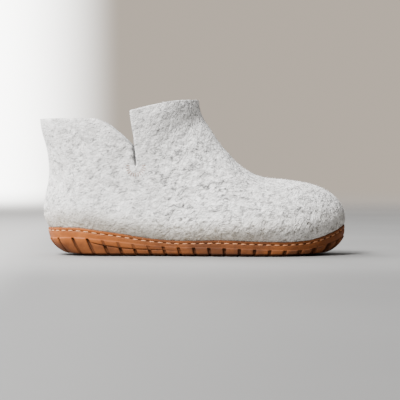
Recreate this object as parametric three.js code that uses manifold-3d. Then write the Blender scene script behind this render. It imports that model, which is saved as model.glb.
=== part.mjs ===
/**
 * Ankle slipper for the right foot: a seamless moulded wool felt upper, a stitched cup sole
 * of natural rubber and a loose felt insole.
 *
 * Millimetres, +Z up, toe towards +X, inner side of the foot towards +Y. The floor is z = 0,
 * and the origin is on the floor under the middle of the slipper.
 */
import * as THREE from 'three';
import { mergeVertices } from 'three/addons/utils/BufferGeometryUtils.js';
import Module from 'manifold-3d';

const wasm = await Module();
wasm.setup();

// Main sizes
const SOLE_LENGTH = 276;
const COLLAR_HEIGHT = 143; // floor to the top of the front flap
const BALL_WIDTH = 100; // rubber, across the ball of the foot
const HEEL_RIM = 25.4; // floor to the top of the rubber at the heel

// Upper and insole
const FELT_WALL = 4.5;
const INSOLE_THICKNESS = 3.5;
const SLIT_WIDTH = 1.4;
const TOE_TIP_HEIGHT = 32.8; // foremost point of the felt
const TOE_TOP_ROUND = 45; // length over which the crown of the toe drops to its tip
const TOE_UNDER_ROUND = 20;
const TOE_PLAN_ROUND = 75; // length over which the toe closes, seen from above
const HEEL_PLAN_ROUND = 40;
const HEEL_ROUND_LOSS = 0.6; // share of an end's roll that its rounding in plan loses with it
const TOE_ROUND_LOSS = 1.1;

// Sole
const RUBBER_WALL = 2.4;
const RIM_EDGE_ROUND = 0.5;
const CUP_DEPTH = 8;
const STITCH_LINE_DROP = 2.8; // below the rim
const STITCH_GROOVE_HALF = 0.8;
const STITCH_GROOVE_DEPTH = 0.6;
const LEDGE_STEP = 0.9; // how far the lugs stand out from the band above them
const LEDGE_SLOPE = 0.9;
const HEEL_ROLL = 28; // length of the rounding under the heel
const TOE_ROLL = 31;
const TOE_ROLL_START = 0.775; // share of the rim height where the toe starts to round under
const SIDE_ROLL = 3;
const RIB_HEIGHT = 4; // widest height of the rib above the lugs on the rear half
const RIB_GROOVE = 0.7;
const LUG_PITCH = 13.84;
const LUG_FIRST = 10.7; // from the heel end to the first groove on each side
const LUG_GROOVE_WIDTH = 2.1;
const LUG_GROOVE_DEPTH = 2.2;
const LUG_LENGTH_UNDERFOOT = 11;
const LUG_SHORTEST = 0.45; // share of that length left where the grooves meet at heel and toe
const LUG_SLANT = 0.48; // lean of the heel grooves towards the toe, run over drop
const LUG_UPRIGHT_AT = 0.66; // share of the sole length where the grooves stand upright
const LUG_BACK_SLANT = 0.35; // most lean the other way at the toe, as a share of the slant
const TREAD_DEPTH = 2.2;
const TREAD_BAR = 7;
const TREAD_PITCH = 12;
const TREAD_MARGIN = 3;

const FIT_GAP = 0.3;

// Mesh density
const TOE_RINGS = 9;
const BODY_RING_STEP = 0.75; // rows of the table per ring behind the toe
const SECTION_STEPS = 15; // from keel to crown, on each side
const OUTLINE_STEPS = 27; // from heel to toe, on each side

const HEEL_X = -SOLE_LENGTH / 2;
const TOE_X = SOLE_LENGTH / 2;

/**
 * Outline of the rubber rim from above. along is a share of the sole length from the heel.
 * outer, inner and middle are shares of the ball width, before the heel and toe are rounded.
 */
const OUTLINE = [
  { along: 0.0, outer: 0.345, inner: 0.345, middle: 0 },
  { along: 0.1, outer: 0.36, inner: 0.355, middle: 0 },
  { along: 0.18, outer: 0.375, inner: 0.365, middle: 0 },
  { along: 0.27, outer: 0.385, inner: 0.36, middle: 0 },
  { along: 0.36, outer: 0.4, inner: 0.35, middle: 0 },
  { along: 0.45, outer: 0.435, inner: 0.355, middle: 0 },
  { along: 0.54, outer: 0.475, inner: 0.39, middle: 0 },
  { along: 0.62, outer: 0.505, inner: 0.43, middle: 0.005 },
  { along: 0.7, outer: 0.515, inner: 0.47, middle: 0.01 },
  { along: 0.77, outer: 0.51, inner: 0.49, middle: 0.02 },
  { along: 0.84, outer: 0.49, inner: 0.5, middle: 0.03 },
  { along: 0.92, outer: 0.455, inner: 0.495, middle: 0.04 },
  { along: 1.0, outer: 0.41, inner: 0.48, middle: 0.05 },
];

/**
 * Side of the sole. rim is the height of the rubber as a share of the heel rim, ledge is the
 * top of the lugs as a share of the rim there, and rib is the height of the rib above the
 * lugs as a share of its widest height.
 */
const SIDE = [
  { along: 0.0, rim: 1.0, ledge: 0.61, rib: 0 },
  { along: 0.1, rim: 1.015, ledge: 0.633, rib: 0 },
  { along: 0.18, rim: 0.905, ledge: 0.632, rib: 0.85 },
  { along: 0.25, rim: 0.8, ledge: 0.608, rib: 1 },
  { along: 0.315, rim: 0.685, ledge: 0.582, rib: 0.7 },
  { along: 0.38, rim: 0.602, ledge: 0.575, rib: 0.5 },
  { along: 0.45, rim: 0.56, ledge: 0.556, rib: 0.4 },
  { along: 0.58, rim: 0.585, ledge: 0.5, rib: 0 },
  { along: 0.7, rim: 0.54, ledge: 0.44, rib: 0 },
  { along: 0.78, rim: 0.52, ledge: 0.394, rib: 0 },
  { along: 0.84, rim: 0.543, ledge: 0.39, rib: 0 },
  { along: 0.88, rim: 0.598, ledge: 0.43, rib: 0 },
  { along: 0.92, rim: 0.715, ledge: 0.505, rib: 0 },
  { along: 0.96, rim: 0.866, ledge: 0.575, rib: 0 },
  { along: 1.0, rim: 1.1, ledge: 0.607, rib: 0 },
];

/**
 * Sections of the last, from the toe tip round the heel and up past the collar. Each lies in a
 * plane across the foot, from a keel point on the sole or the back to a crown point on the
 * instep or the front of the shaft. along is a share of the sole length, up of the collar
 * height, and outer, inner and middle of the ball width. keel and crown are the shares of the
 * section that round in at each end, with the power of that rounding.
 */
const LAST = [
  row([1.002, 0.4615], [1.002, 0.035], [0.42, 0.485, 0.05], [0.56, 2.1], [0.42, 2.4]),
  row([0.9145, 0.4657], [0.9145, -0.01], [0.475, 0.51, 0.042], [0.58, 2.1], [0.4, 2.4]),
  row([0.849, 0.4741], [0.849, -0.042], [0.51, 0.52, 0.03], [0.58, 2.1], [0.4, 2.4]),
  row([0.7915, 0.4874], [0.7915, -0.042], [0.53, 0.515, 0.023], [0.58, 2.1], [0.4, 2.4]),
  row([0.7306, 0.4993], [0.7306, -0.042], [0.54, 0.505, 0.02], [0.59, 2.1], [0.39, 2.3]),
  row([0.68, 0.535], [0.655, -0.042], [0.54, 0.475, 0.02], [0.61, 2.05], [0.37, 2.3]),
  row([0.6329, 0.6035], [0.56, -0.042], [0.515, 0.43, 0.018], [0.63, 2.0], [0.34, 2.3]),
  row([0.6, 0.67], [0.45, -0.042], [0.47, 0.395, 0.015], [0.64, 2.0], [0.31, 2.3]),
  row([0.5765, 0.724], [0.34, -0.035], [0.43, 0.385, 0.01], [0.63, 2.0], [0.29, 2.3]),
  row([0.5575, 0.78], [0.23, -0.01], [0.405, 0.385, 0.005], [0.61, 2.0], [0.28, 2.3]),
  row([0.544, 0.822], [0.14, 0.02], [0.39, 0.38, 0], [0.58, 2.0], [0.27, 2.25]),
  row([0.534, 0.854], [0.078, 0.045], [0.38, 0.375, 0], [0.56, 2.0], [0.26, 2.15]),
  row([0.527, 0.876], [0.025, 0.1], [0.375, 0.37, 0], [0.54, 2.0], [0.27, 2.05]),
  row([0.5225, 0.893], [-0.0045, 0.19], [0.37, 0.37, 0], [0.52, 2.0], [0.3, 2.0]),
  row([0.518, 0.91], [-0.017, 0.288], [0.37, 0.37, 0], [0.5, 2.0], [0.34, 2.0]),
  row([0.5145, 0.928], [-0.0085, 0.395], [0.372, 0.372, 0], [0.49, 2.05], [0.38, 2.05]),
  row([0.512, 0.945], [0.0015, 0.49], [0.378, 0.378, 0], [0.48, 2.1], [0.42, 2.1]),
  row([0.51, 0.96], [0.0015, 0.59], [0.388, 0.388, 0], [0.48, 2.1], [0.45, 2.1]),
  row([0.509, 0.975], [-0.006, 0.7], [0.4, 0.4, 0], [0.48, 2.15], [0.47, 2.15]),
  row([0.508, 0.99], [-0.0225, 0.805], [0.41, 0.41, 0], [0.48, 2.15], [0.48, 2.15]),
  row([0.508, 1.02], [-0.029, 0.9], [0.415, 0.415, 0], [0.48, 2.15], [0.48, 2.15]),
  row([0.508, 1.1], [-0.032, 1.0], [0.418, 0.418, 0], [0.48, 2.15], [0.48, 2.15]),
];

/** Top edge of the rear flap, from behind the heel down the slanted side of the notch. */
const REAR_FLAP_EDGE = [
  { along: -0.1, up: 0.88 },
  { along: 0.174, up: 0.876 },
  { along: 0.19, up: 0.868 },
  { along: 0.2495, up: 0.771 },
  { along: 0.2755, up: 0.73 },
  { along: 0.289, up: 0.697 },
];

/** Middle of the slit below the notch, and the upright front side of the notch. */
const SLIT_FOOT = { along: 0.2995, up: 0.568 };
const SLIT_HEAD = { along: 0.2925, up: 0.69 };
const FRONT_FLAP_EDGE = [
  { along: 0.294, up: 0.7 },
  { along: 0.2895, up: 0.757 },
  { along: 0.2825, up: 0.834 },
  { along: 0.276, up: 0.929 },
  { along: 0.299, up: 0.935 },
  { along: 0.348, up: 0.96 },
  { along: 0.413, up: 0.986 },
  { along: 0.45, up: 0.996 },
  { along: 0.498, up: 1.0 },
  { along: 0.65, up: 1.0 },
];

function row(top, bottom, sides, crown, keel) {
  return {
    topAlong: top[0], topUp: top[1],
    bottomAlong: bottom[0], bottomUp: bottom[1],
    outer: sides[0], inner: sides[1], middle: sides[2],
    crown: crown[0], crownPower: crown[1],
    keel: keel[0], keelPower: keel[1],
  };
}

/** Smooth value of one column of a table at a place between its rows. */
function between(table, place, column, placeOf) {
  let k = 0;
  while (k < table.length - 2 && placeOf(k + 1) < place) k += 1;
  const slope = (i) => {
    const a = Math.max(i - 1, 0);
    const b = Math.min(i + 1, table.length - 1);
    return (table[b][column] - table[a][column]) / (placeOf(b) - placeOf(a));
  };
  const span = placeOf(k + 1) - placeOf(k);
  const t = THREE.MathUtils.clamp((place - placeOf(k)) / span, 0, 1);
  const [t2, t3] = [t * t, t * t * t];
  return (2 * t3 - 3 * t2 + 1) * table[k][column] + (t3 - 2 * t2 + t) * span * slope(k)
    + (3 * t2 - 2 * t3) * table[k + 1][column] + (t3 - t2) * span * slope(k + 1);
}

const outlineAt = (x, column) => BALL_WIDTH
  * between(OUTLINE, (x - HEEL_X) / SOLE_LENGTH, column, (k) => OUTLINE[k].along);
const sideAt = (x, column) => between(SIDE, (x - HEEL_X) / SOLE_LENGTH, column, (k) => SIDE[k].along);
const rimAt = (x) => HEEL_RIM * sideAt(x, 'rim');
const cupFloorAt = (x) => rimAt(x) - CUP_DEPTH;
const ledgeAt = (x) => rimAt(x) * sideAt(x, 'ledge');

/** Rounding of an end: 0 at the end itself and 1 from a full share inwards. */
function roundIn(share, power) {
  const inward = THREE.MathUtils.clamp(share, 0, 1);
  return (1 - (1 - inward) ** power) ** (1 / power);
}

/** How much of a roll a point has taken when it is a share of the way down to the floor. */
const rollShare = (down, power) => 1 - (1 - THREE.MathUtils.clamp(down, 0, 1) ** power) ** (1 / power);

/** Solid from a geometry whose shared corners are merged. */
function solidOf(geometry) {
  const bare = geometry.index ? geometry.toNonIndexed() : geometry.clone();
  bare.deleteAttribute('normal');
  bare.deleteAttribute('uv');
  const merged = mergeVertices(bare, 1e-4);
  return new wasm.Manifold(new wasm.Mesh({
    numProp: 3,
    vertProperties: new Float32Array(merged.attributes.position.array),
    triVerts: new Uint32Array(merged.index.array),
  }));
}

/** Named mesh of a solid in one material. */
function meshOf(name, solid, material) {
  const { vertProperties, triVerts } = solid.getMesh();
  const geometry = new THREE.BufferGeometry();
  geometry.setAttribute('position', new THREE.BufferAttribute(new Float32Array(vertProperties), 3));
  geometry.setIndex(new THREE.BufferAttribute(new Uint32Array(triVerts), 1));
  geometry.computeVertexNormals();
  const mesh = new THREE.Mesh(geometry, material);
  mesh.name = name;
  return mesh;
}

/** Solid from points and triangles, turned right side out. */
function solidFrom(points, triangles) {
  const geometry = new THREE.BufferGeometry();
  const flat = points.flatMap((p) => [p.x, p.y, p.z]);
  geometry.setAttribute('position', new THREE.Float32BufferAttribute(flat, 3));
  geometry.setIndex(triangles.flat());
  const solid = solidOf(geometry);
  return solid.volume() > 0 ? solid : solidFrom(points, triangles.map(([a, b, c]) => [a, c, b]));
}

/** Triangles of the bands between rings of equal count. */
function bands(ringTotal, count) {
  const triangles = [];
  for (let i = 0; i + 1 < ringTotal; i += 1) {
    for (let j = 0; j < count; j += 1) {
      const [a, b] = [i * count + j, i * count + ((j + 1) % count)];
      triangles.push([a, b, b + count], [a, b + count, a + count]);
    }
  }
  return triangles;
}

/** Block with a side profile in x and z, as wide as the slipper and more. */
function sideProfileBlock(profile) {
  const shape = new THREE.Shape(profile.map(([x, z]) => new THREE.Vector2(x, z)));
  const depth = BALL_WIDTH * 2;
  const block = new THREE.ExtrudeGeometry(shape, { depth, bevelEnabled: false });
  return solidOf(block.rotateX(Math.PI / 2).translate(0, depth / 2, 0));
}

/** One ring round the sole, from the heel along the outer side to the toe and back. */
function soleRing(placeAt) {
  const side = [];
  for (let i = 0; i <= OUTLINE_STEPS; i += 1) {
    side.push(placeAt((1 - Math.cos((Math.PI * i) / OUTLINE_STEPS)) / 2));
  }
  const outer = side.map((p) => new THREE.Vector3(p.x, -p.outer, p.z));
  const inner = side.slice(1, -1).map((p) => new THREE.Vector3(p.x, p.inner, p.z)).reverse();
  return [...outer, ...inner];
}

/** Half widths of a rounded outline between two ends, moved out by a distance. */
function widthsAt(x, heelEnd, toeEnd, out) {
  const heelRound = HEEL_PLAN_ROUND - HEEL_ROUND_LOSS * (heelEnd - HEEL_X);
  const toeRound = TOE_PLAN_ROUND - TOE_ROUND_LOSS * (TOE_X - toeEnd);
  const rounding = roundIn((x - heelEnd) / heelRound, 2.1)
    * roundIn((toeEnd - x) / toeRound, 2.2);
  const middle = outlineAt(x, 'middle');
  return {
    outer: (outlineAt(x, 'outer') + middle + out) * rounding - middle,
    inner: (outlineAt(x, 'inner') - middle + out) * rounding + middle,
  };
}

/** Ends of the sole at a level, from 0 on the floor to 1 at the rim. */
function endsAt(level, out) {
  return {
    heelEnd: HEEL_X + HEEL_ROLL * rollShare(1 - level, 2) - out,
    toeEnd: TOE_X - TOE_ROLL * rollShare(1 - level / TOE_ROLL_START, 1.7) + out,
  };
}

/** Place on the outside of the rubber at a share of its length, at a level given along x. */
function wallPlace(share, levelAt, out) {
  let x = THREE.MathUtils.lerp(HEEL_X, TOE_X, share);
  let ends = endsAt(1, out);
  let level = 1;
  for (let pass = 0; pass < 4; pass += 1) {
    level = levelAt(x);
    ends = endsAt(level, out);
    x = THREE.MathUtils.lerp(ends.heelEnd, ends.toeEnd, share);
  }
  const roll = SIDE_ROLL * rollShare(1 - level, 2);
  return { x, z: level * rimAt(x), ...widthsAt(x, ends.heelEnd, ends.toeEnd, out - roll) };
}

const wallRing = (levelAt, out) => soleRing((share) => wallPlace(share, levelAt, out));
const belowRim = (drop) => (x) => 1 - drop / rimAt(x);
const nearLedge = (rise) => (x) => (ledgeAt(x) + rise) / rimAt(x);
const underRib = (drop) => (x) => {
  const rib = RIB_HEIGHT * Math.max(sideAt(x, 'rib'), 0);
  return (ledgeAt(x) - LEDGE_SLOPE / 2 - rib - drop * Math.min(rib, 1)) / rimAt(x);
};

/** Ring of the cup, inside the rubber wall. */
const cupRing = (inset, heightAt) => soleRing((share) => {
  const x = THREE.MathUtils.lerp(HEEL_X + inset, TOE_X - inset, share);
  return { x, z: heightAt(x), ...widthsAt(x, HEEL_X + inset, TOE_X - inset, -inset) };
});

/** Solid between rings that all run round the sole, closed across at both ends. */
function ringSolid(rings) {
  const count = OUTLINE_STEPS * 2;
  const closeAcross = (base) => {
    const faces = [[base, base + 1, base + count - 1]];
    for (let k = 1; k < OUTLINE_STEPS - 1; k += 1) {
      const [a, b] = [base + k, base + k + 1];
      const [c, d] = [base + count - k - 1, base + count - k];
      faces.push([a, b, c], [a, c, d]);
    }
    const toe = base + OUTLINE_STEPS;
    faces.push([toe - 1, toe, toe + 1]);
    return faces;
  };
  const start = closeAcross(0).map(([a, b, c]) => [a, c, b]);
  const end = closeAcross((rings.length - 1) * count);
  return solidFrom(rings.flat(), [...start, ...bands(rings.length, count), ...end]);
}

/** Block with an outline inside the rim by an inset, between two heights along the sole. */
const slab = (inset, lowAt, highAt) => ringSolid([cupRing(inset, lowAt), cupRing(inset, highAt)]);

/** Height rounding of the toe, which meets the tip height at the very tip. */
const toeDrop = (x, height, round) => {
  const reach = SOLE_LENGTH * LAST[0].topAlong + HEEL_X - x;
  return THREE.MathUtils.lerp(TOE_TIP_HEIGHT, height, roundIn(reach / round, 2));
};

/** One section of the last at a place in its table. */
function lastSection(place) {
  const value = (column) => between(LAST, place, column, (k) => k);
  const topX = HEEL_X + SOLE_LENGTH * value('topAlong');
  const bottomX = HEEL_X + SOLE_LENGTH * value('bottomAlong');
  const topZ = toeDrop(topX, COLLAR_HEIGHT * value('topUp'), TOE_TOP_ROUND);
  const bottomZ = toeDrop(bottomX, COLLAR_HEIGHT * value('bottomUp'), TOE_UNDER_ROUND);
  const tip = HEEL_X + SOLE_LENGTH * LAST[0].topAlong;
  const closing = roundIn((tip - bottomX) / TOE_PLAN_ROUND, 2.2);
  const middle = BALL_WIDTH * value('middle');
  const outer = (BALL_WIDTH * value('outer') + middle) * closing;
  const inner = (BALL_WIDTH * value('inner') - middle) * closing;
  const point = (step, side) => {
    const t = (1 - Math.cos((Math.PI * step) / SECTION_STEPS)) / 2;
    const shape = roundIn(t / value('keel'), value('keelPower'))
      * roundIn((1 - t) / value('crown'), value('crownPower'));
    return new THREE.Vector3(
      THREE.MathUtils.lerp(bottomX, topX, t),
      middle + side * shape,
      THREE.MathUtils.lerp(bottomZ, topZ, t),
    );
  };
  const ring = [];
  for (let j = 0; j <= SECTION_STEPS; j += 1) ring.push(point(j, -outer));
  for (let j = SECTION_STEPS - 1; j > 0; j -= 1) ring.push(point(j, inner));
  return ring;
}

/** Rings of the whole last, close together at the toe. */
function lastRings() {
  const toeRows = 3;
  const places = [];
  for (let k = 1; k <= TOE_RINGS; k += 1) places.push(toeRows * (k / TOE_RINGS) ** 2);
  const rest = LAST.length - 1 - toeRows;
  const steps = Math.round(rest / BODY_RING_STEP);
  for (let k = 1; k <= steps; k += 1) places.push(toeRows + (rest * k) / steps);
  return places.map(lastSection);
}

/** Solid inside the last by a depth, measured square to its surface. */
function lastSolid(rings, depth) {
  const count = rings[0].length;
  const tip = new THREE.Vector3(HEEL_X + SOLE_LENGTH * LAST[0].topAlong, 0, TOE_TIP_HEIGHT);
  tip.y = BALL_WIDTH * LAST[0].middle;
  const inwards = (ring, i, j) => {
    const before = i > 0 ? rings[i - 1][j] : tip;
    const after = rings[Math.min(i + 1, rings.length - 1)][j];
    const across = ring[(j + 1) % count].clone().sub(ring[(j + count - 1) % count]);
    const normal = after.clone().sub(before).cross(across).normalize();
    return ring[j].clone().addScaledVector(normal, depth);
  };
  const moved = rings.map((ring, i) => ring.map((_, j) => inwards(ring, i, j)));
  if (depth > 0) moved.at(-1).forEach((p) => p.setZ(p.z + FELT_WALL));
  const end = moved.at(-1).reduce((sum, p) => sum.add(p), new THREE.Vector3())
    .divideScalar(count);
  const points = [...moved.flat(), tip.clone().setX(tip.x - depth), end];
  const [tipIndex, endIndex] = [points.length - 2, points.length - 1];
  const lastRing = (rings.length - 1) * count;
  const triangles = bands(rings.length, count);
  for (let j = 0; j < count; j += 1) {
    const next = (j + 1) % count;
    triangles.push([tipIndex, next, j], [endIndex, lastRing + j, lastRing + next]);
  }
  return solidFrom(points, triangles);
}

/** Everything above the collar line, with the notch and its slit on both sides. */
function collarCut() {
  const at = ({ along, up }) => [HEEL_X + SOLE_LENGTH * along, COLLAR_HEIGHT * up];
  const [headX, headZ] = at(SLIT_HEAD);
  const [footX, footZ] = at(SLIT_FOOT);
  const half = SLIT_WIDTH / 2;
  const slit = [[headX - half, headZ], [footX - half, footZ], [footX + half, footZ],
    [headX + half, headZ]];
  const edge = [...REAR_FLAP_EDGE.map(at), ...slit, ...FRONT_FLAP_EDGE.map(at)];
  const above = COLLAR_HEIGHT * 1.4;
  return sideProfileBlock([...edge, [edge.at(-1)[0], above], [edge[0][0], above]]);
}

/** Block below a line that runs from heel to toe, given by the outer side of a ring. */
function blockBelow(ring, lift) {
  const line = ring.slice(0, OUTLINE_STEPS + 1).map((p) => [p.x, p.z + lift]);
  const reach = SOLE_LENGTH * 0.1;
  const [[heelX, heelZ], [toeX, toeZ]] = [line[0], line.at(-1)];
  return sideProfileBlock([[heelX - reach, -reach], [toeX + reach, -reach], [toeX + reach, toeZ],
    ...line.reverse(), [heelX - reach, heelZ]]);
}

/** Room that the rubber cup and its clearance take out of the felt. */
function rubberRoom() {
  const cup = slab(RUBBER_WALL + FIT_GAP, () => -HEEL_RIM * 2, (x) => rimAt(x) * 1.5);
  const wall = blockBelow(wallRing(() => 1, LEDGE_STEP), FIT_GAP).subtract(cup);
  return wall.add(blockBelow(cupRing(RUBBER_WALL, cupFloorAt), FIT_GAP));
}

const rings = lastRings();

function upperSolid() {
  return lastSolid(rings, 0).subtract(lastSolid(rings, FELT_WALL)).subtract(collarCut())
    .subtract(rubberRoom());
}

function insoleSolid() {
  const sheet = slab(RUBBER_WALL + FIT_GAP, (x) => cupFloorAt(x) + FIT_GAP,
    (x) => cupFloorAt(x) + FIT_GAP + INSOLE_THICKNESS);
  return sheet.intersect(lastSolid(rings, FELT_WALL + FIT_GAP));
}

/** Rubber cup with its rim, stitch groove, ledge and rib, before the tread is cut. */
function cupBody() {
  const stitchTop = STITCH_LINE_DROP - STITCH_GROOVE_HALF;
  const stitchFoot = STITCH_LINE_DROP + STITCH_GROOVE_HALF;
  const ribDepth = (x) => RIB_GROOVE * Math.min(Math.max(sideAt(x, 'rib'), 0) * 2, 1);
  const ribGroove = soleRing((share) => {
    const out = LEDGE_STEP - ribDepth(THREE.MathUtils.lerp(HEEL_X, TOE_X, share));
    return wallPlace(share, underRib(0.5), out);
  });
  const underLedge = (part) => (x) => part * underRib(1)(x);
  return ringSolid([
    cupRing(RUBBER_WALL, cupFloorAt),
    cupRing(RUBBER_WALL, rimAt),
    wallRing(belowRim(0), -RIM_EDGE_ROUND),
    wallRing(belowRim(RIM_EDGE_ROUND), 0),
    wallRing(belowRim(stitchTop), 0),
    wallRing(belowRim(STITCH_LINE_DROP), -STITCH_GROOVE_DEPTH),
    wallRing(belowRim(stitchFoot), 0),
    wallRing(nearLedge(LEDGE_SLOPE / 2), 0),
    wallRing(nearLedge(-LEDGE_SLOPE / 2), LEDGE_STEP),
    wallRing(underRib(0), LEDGE_STEP),
    ribGroove,
    wallRing(underRib(1), LEDGE_STEP),
    ...[0.5, 0.16].map((part) => wallRing(underLedge(part), LEDGE_STEP)),
    wallRing(() => 0, LEDGE_STEP),
  ]);
}

/** Whether a plan point lies inside the rubber at a level. */
function insideWall(x, y, level) {
  const { heelEnd, toeEnd } = endsAt(level, LEDGE_STEP);
  if (x <= heelEnd || x >= toeEnd) return false;
  const roll = SIDE_ROLL * rollShare(1 - level, 2);
  const { outer, inner } = widthsAt(x, heelEnd, toeEnd, LEDGE_STEP - roll);
  return y > -outer && y < inner;
}

/** Inward distance from a plan point to the wall at a height, by halving. */
function wallDistance(point, inward, height) {
  let [near, far] = [-LEDGE_STEP * 4, Math.max(HEEL_ROLL, TOE_ROLL) + LEDGE_STEP * 4];
  for (let pass = 0; pass < 24; pass += 1) {
    const trial = (near + far) / 2;
    const x = point.x + inward.x * trial;
    const y = point.y + inward.y * trial;
    if (insideWall(x, y, height / rimAt(x))) far = trial;
    else near = trial;
  }
  return far;
}

/** Shares of the ledge line where the grooves lie: evenly along both sides and round the ends. */
function groovePlaces(ledgeLine) {
  const total = ledgeLine.getLength();
  const pointAt = (run) => ledgeLine.getPointAt(((run + total) % total) / total);
  const runTo = (x, side) => {
    let [near, far] = [0, total * 0.48];
    for (let pass = 0; pass < 24; pass += 1) {
      const trial = (near + far) / 2;
      if (pointAt(side * trial).x < x) near = trial;
      else far = trial;
    }
    return side * far;
  };
  const steps = Math.floor((SOLE_LENGTH - 2 * LUG_FIRST) / LUG_PITCH);
  const first = HEEL_X + LUG_FIRST;
  const last = first + steps * LUG_PITCH;
  const runs = [];
  for (let k = 0; k <= steps; k += 1) {
    runs.push(runTo(first + k * LUG_PITCH, 1), runTo(first + k * LUG_PITCH, -1));
  }
  for (const [from, to] of [[runTo(first, -1), runTo(first, 1)],
    [runTo(last, 1), total + runTo(last, -1)]]) {
    const gaps = Math.round((to - from) / LUG_PITCH);
    for (let k = 1; k < gaps; k += 1) runs.push(THREE.MathUtils.lerp(from, to, k / gaps));
  }
  return runs.map((run) => ((run + total) % total) / total);
}

/** Cutter for one groove between two lugs, at a share of the way round the ledge. */
function lugCutter(ledgeLine, share) {
  const point = ledgeLine.getPointAt(share);
  const tangent = ledgeLine.getTangentAt(share).setZ(0).normalize();
  const inward = new THREE.Vector3(-tangent.y, tangent.x, 0);
  const top = ledgeAt(point.x) + LEDGE_SLOPE / 2;
  const rib = RIB_HEIGHT * Math.max(sideAt(point.x, 'rib'), 0);
  const lugTop = rib > RIB_GROOVE ? ledgeAt(point.x) - LEDGE_SLOPE / 2 - rib : top;
  const depthAt = (height) => wallDistance(point, inward, height);
  const face = [[LEDGE_STEP / 2, top + LEDGE_STEP]];
  if (rib > RIB_GROOVE) {
    face.push([depthAt(top) + RIB_GROOVE, top - LEDGE_SLOPE], [depthAt(lugTop) + RIB_GROOVE, lugTop]);
  }
  const drops = 5;
  for (let k = 0; k <= drops; k += 1) {
    const down = Math.sin((Math.PI / 2) * (k / drops));
    const height = THREE.MathUtils.lerp(lugTop - LEDGE_SLOPE, TREAD_DEPTH, down);
    face.push([depthAt(height) + LUG_GROOVE_DEPTH, height]);
  }
  const length = LUG_LENGTH_UNDERFOOT * THREE.MathUtils.lerp(LUG_SHORTEST, 1, tangent.x ** 2);
  const floorEnd = depthAt(0) + length;
  const outside = -LEDGE_STEP * 4;
  const polygon = [[outside, top + LEDGE_STEP], ...face, [floorEnd, TREAD_DEPTH], [floorEnd, -TREAD_DEPTH],
    [outside, -TREAD_DEPTH]];
  const shape = new THREE.Shape(polygon.map(([u, v]) => new THREE.Vector2(u, v)));
  const cutter = new THREE.ExtrudeGeometry(shape, { depth: LUG_GROOVE_WIDTH, bevelEnabled: false });
  cutter.translate(0, 0, -LUG_GROOVE_WIDTH / 2);
  const upright = (point.x - HEEL_X) / SOLE_LENGTH / LUG_UPRIGHT_AT;
  const lean = LUG_SLANT * Math.max(1 - upright ** 2, -LUG_BACK_SLANT) * tangent.x;
  const side = inward.clone().cross(new THREE.Vector3(0, 0, 1));
  const towards = Math.sign(side.dot(tangent));
  const place = cutter.attributes.position;
  for (let k = 0; k < place.count; k += 1) {
    place.setZ(k, place.getZ(k) + towards * lean * (top - place.getY(k)));
  }
  cutter.applyMatrix4(new THREE.Matrix4().makeBasis(inward, new THREE.Vector3(0, 0, 1), side)
    .setPosition(point.x, point.y, 0));
  return solidOf(cutter);
}

/** Hollow between the ring of lugs and the cross bars under the foot. */
function treadHollow() {
  const floor = wallRing(() => 0, -LUG_LENGTH_UNDERFOOT - TREAD_MARGIN + LEDGE_STEP);
  const lift = (height) => floor.map((p) => p.clone().setZ(height));
  const field = ringSolid([lift(-TREAD_DEPTH), lift(TREAD_DEPTH)]);
  const barField = wallRing(() => 0, -LUG_LENGTH_UNDERFOOT - 2 * TREAD_MARGIN + LEDGE_STEP);
  const barLift = (height) => barField.map((p) => p.clone().setZ(height));
  const barRoom = ringSolid([barLift(-TREAD_DEPTH * 2), barLift(TREAD_DEPTH * 2)]);
  let hollow = field;
  const bars = Math.floor((SOLE_LENGTH - HEEL_ROLL - TOE_ROLL) / TREAD_PITCH);
  for (let k = 0; k <= bars; k += 1) {
    const box = new THREE.BoxGeometry(TREAD_BAR, BALL_WIDTH * 1.2, TREAD_DEPTH * 3);
    box.translate(HEEL_X + HEEL_ROLL + TREAD_PITCH * (k + 0.5), 0, 0);
    hollow = hollow.subtract(solidOf(box).intersect(barRoom));
  }
  return hollow;
}

function soleSolid() {
  const ledgeRing = wallRing(nearLedge(-LEDGE_SLOPE / 2), LEDGE_STEP);
  const ledgeLine = new THREE.CatmullRomCurve3(ledgeRing, true, 'centripetal');
  return groovePlaces(ledgeLine).reduce(
    (sole, share) => sole.subtract(lugCutter(ledgeLine, share)),
    cupBody().subtract(treadHollow()),
  );
}

const felt = new THREE.MeshStandardMaterial({ color: 0xd6d4d1, roughness: 0.95, metalness: 0 });
const innerFelt = new THREE.MeshStandardMaterial({ color: 0xc9c6c1, roughness: 0.95, metalness: 0 });
const rubber = new THREE.MeshStandardMaterial({ color: 0xb5713f, roughness: 0.55, metalness: 0 });

const slipper = new THREE.Group();
slipper.add(
  meshOf('upper', upperSolid(), felt),
  meshOf('sole', soleSolid(), rubber),
  meshOf('insole', insoleSolid(), innerFelt),
);

// The origin goes under the middle of the slipper's own length and width.
const extent = new THREE.Box3().setFromObject(slipper);
const centre = extent.getCenter(new THREE.Vector3());
slipper.position.set(-centre.x, -centre.y, 0);

export default slipper;
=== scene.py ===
import logging
import math
from dataclasses import dataclass
from enum import Enum
from typing import Callable, Sequence, Union

import bmesh
import bpy
import numpy as np
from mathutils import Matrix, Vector, noise


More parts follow.
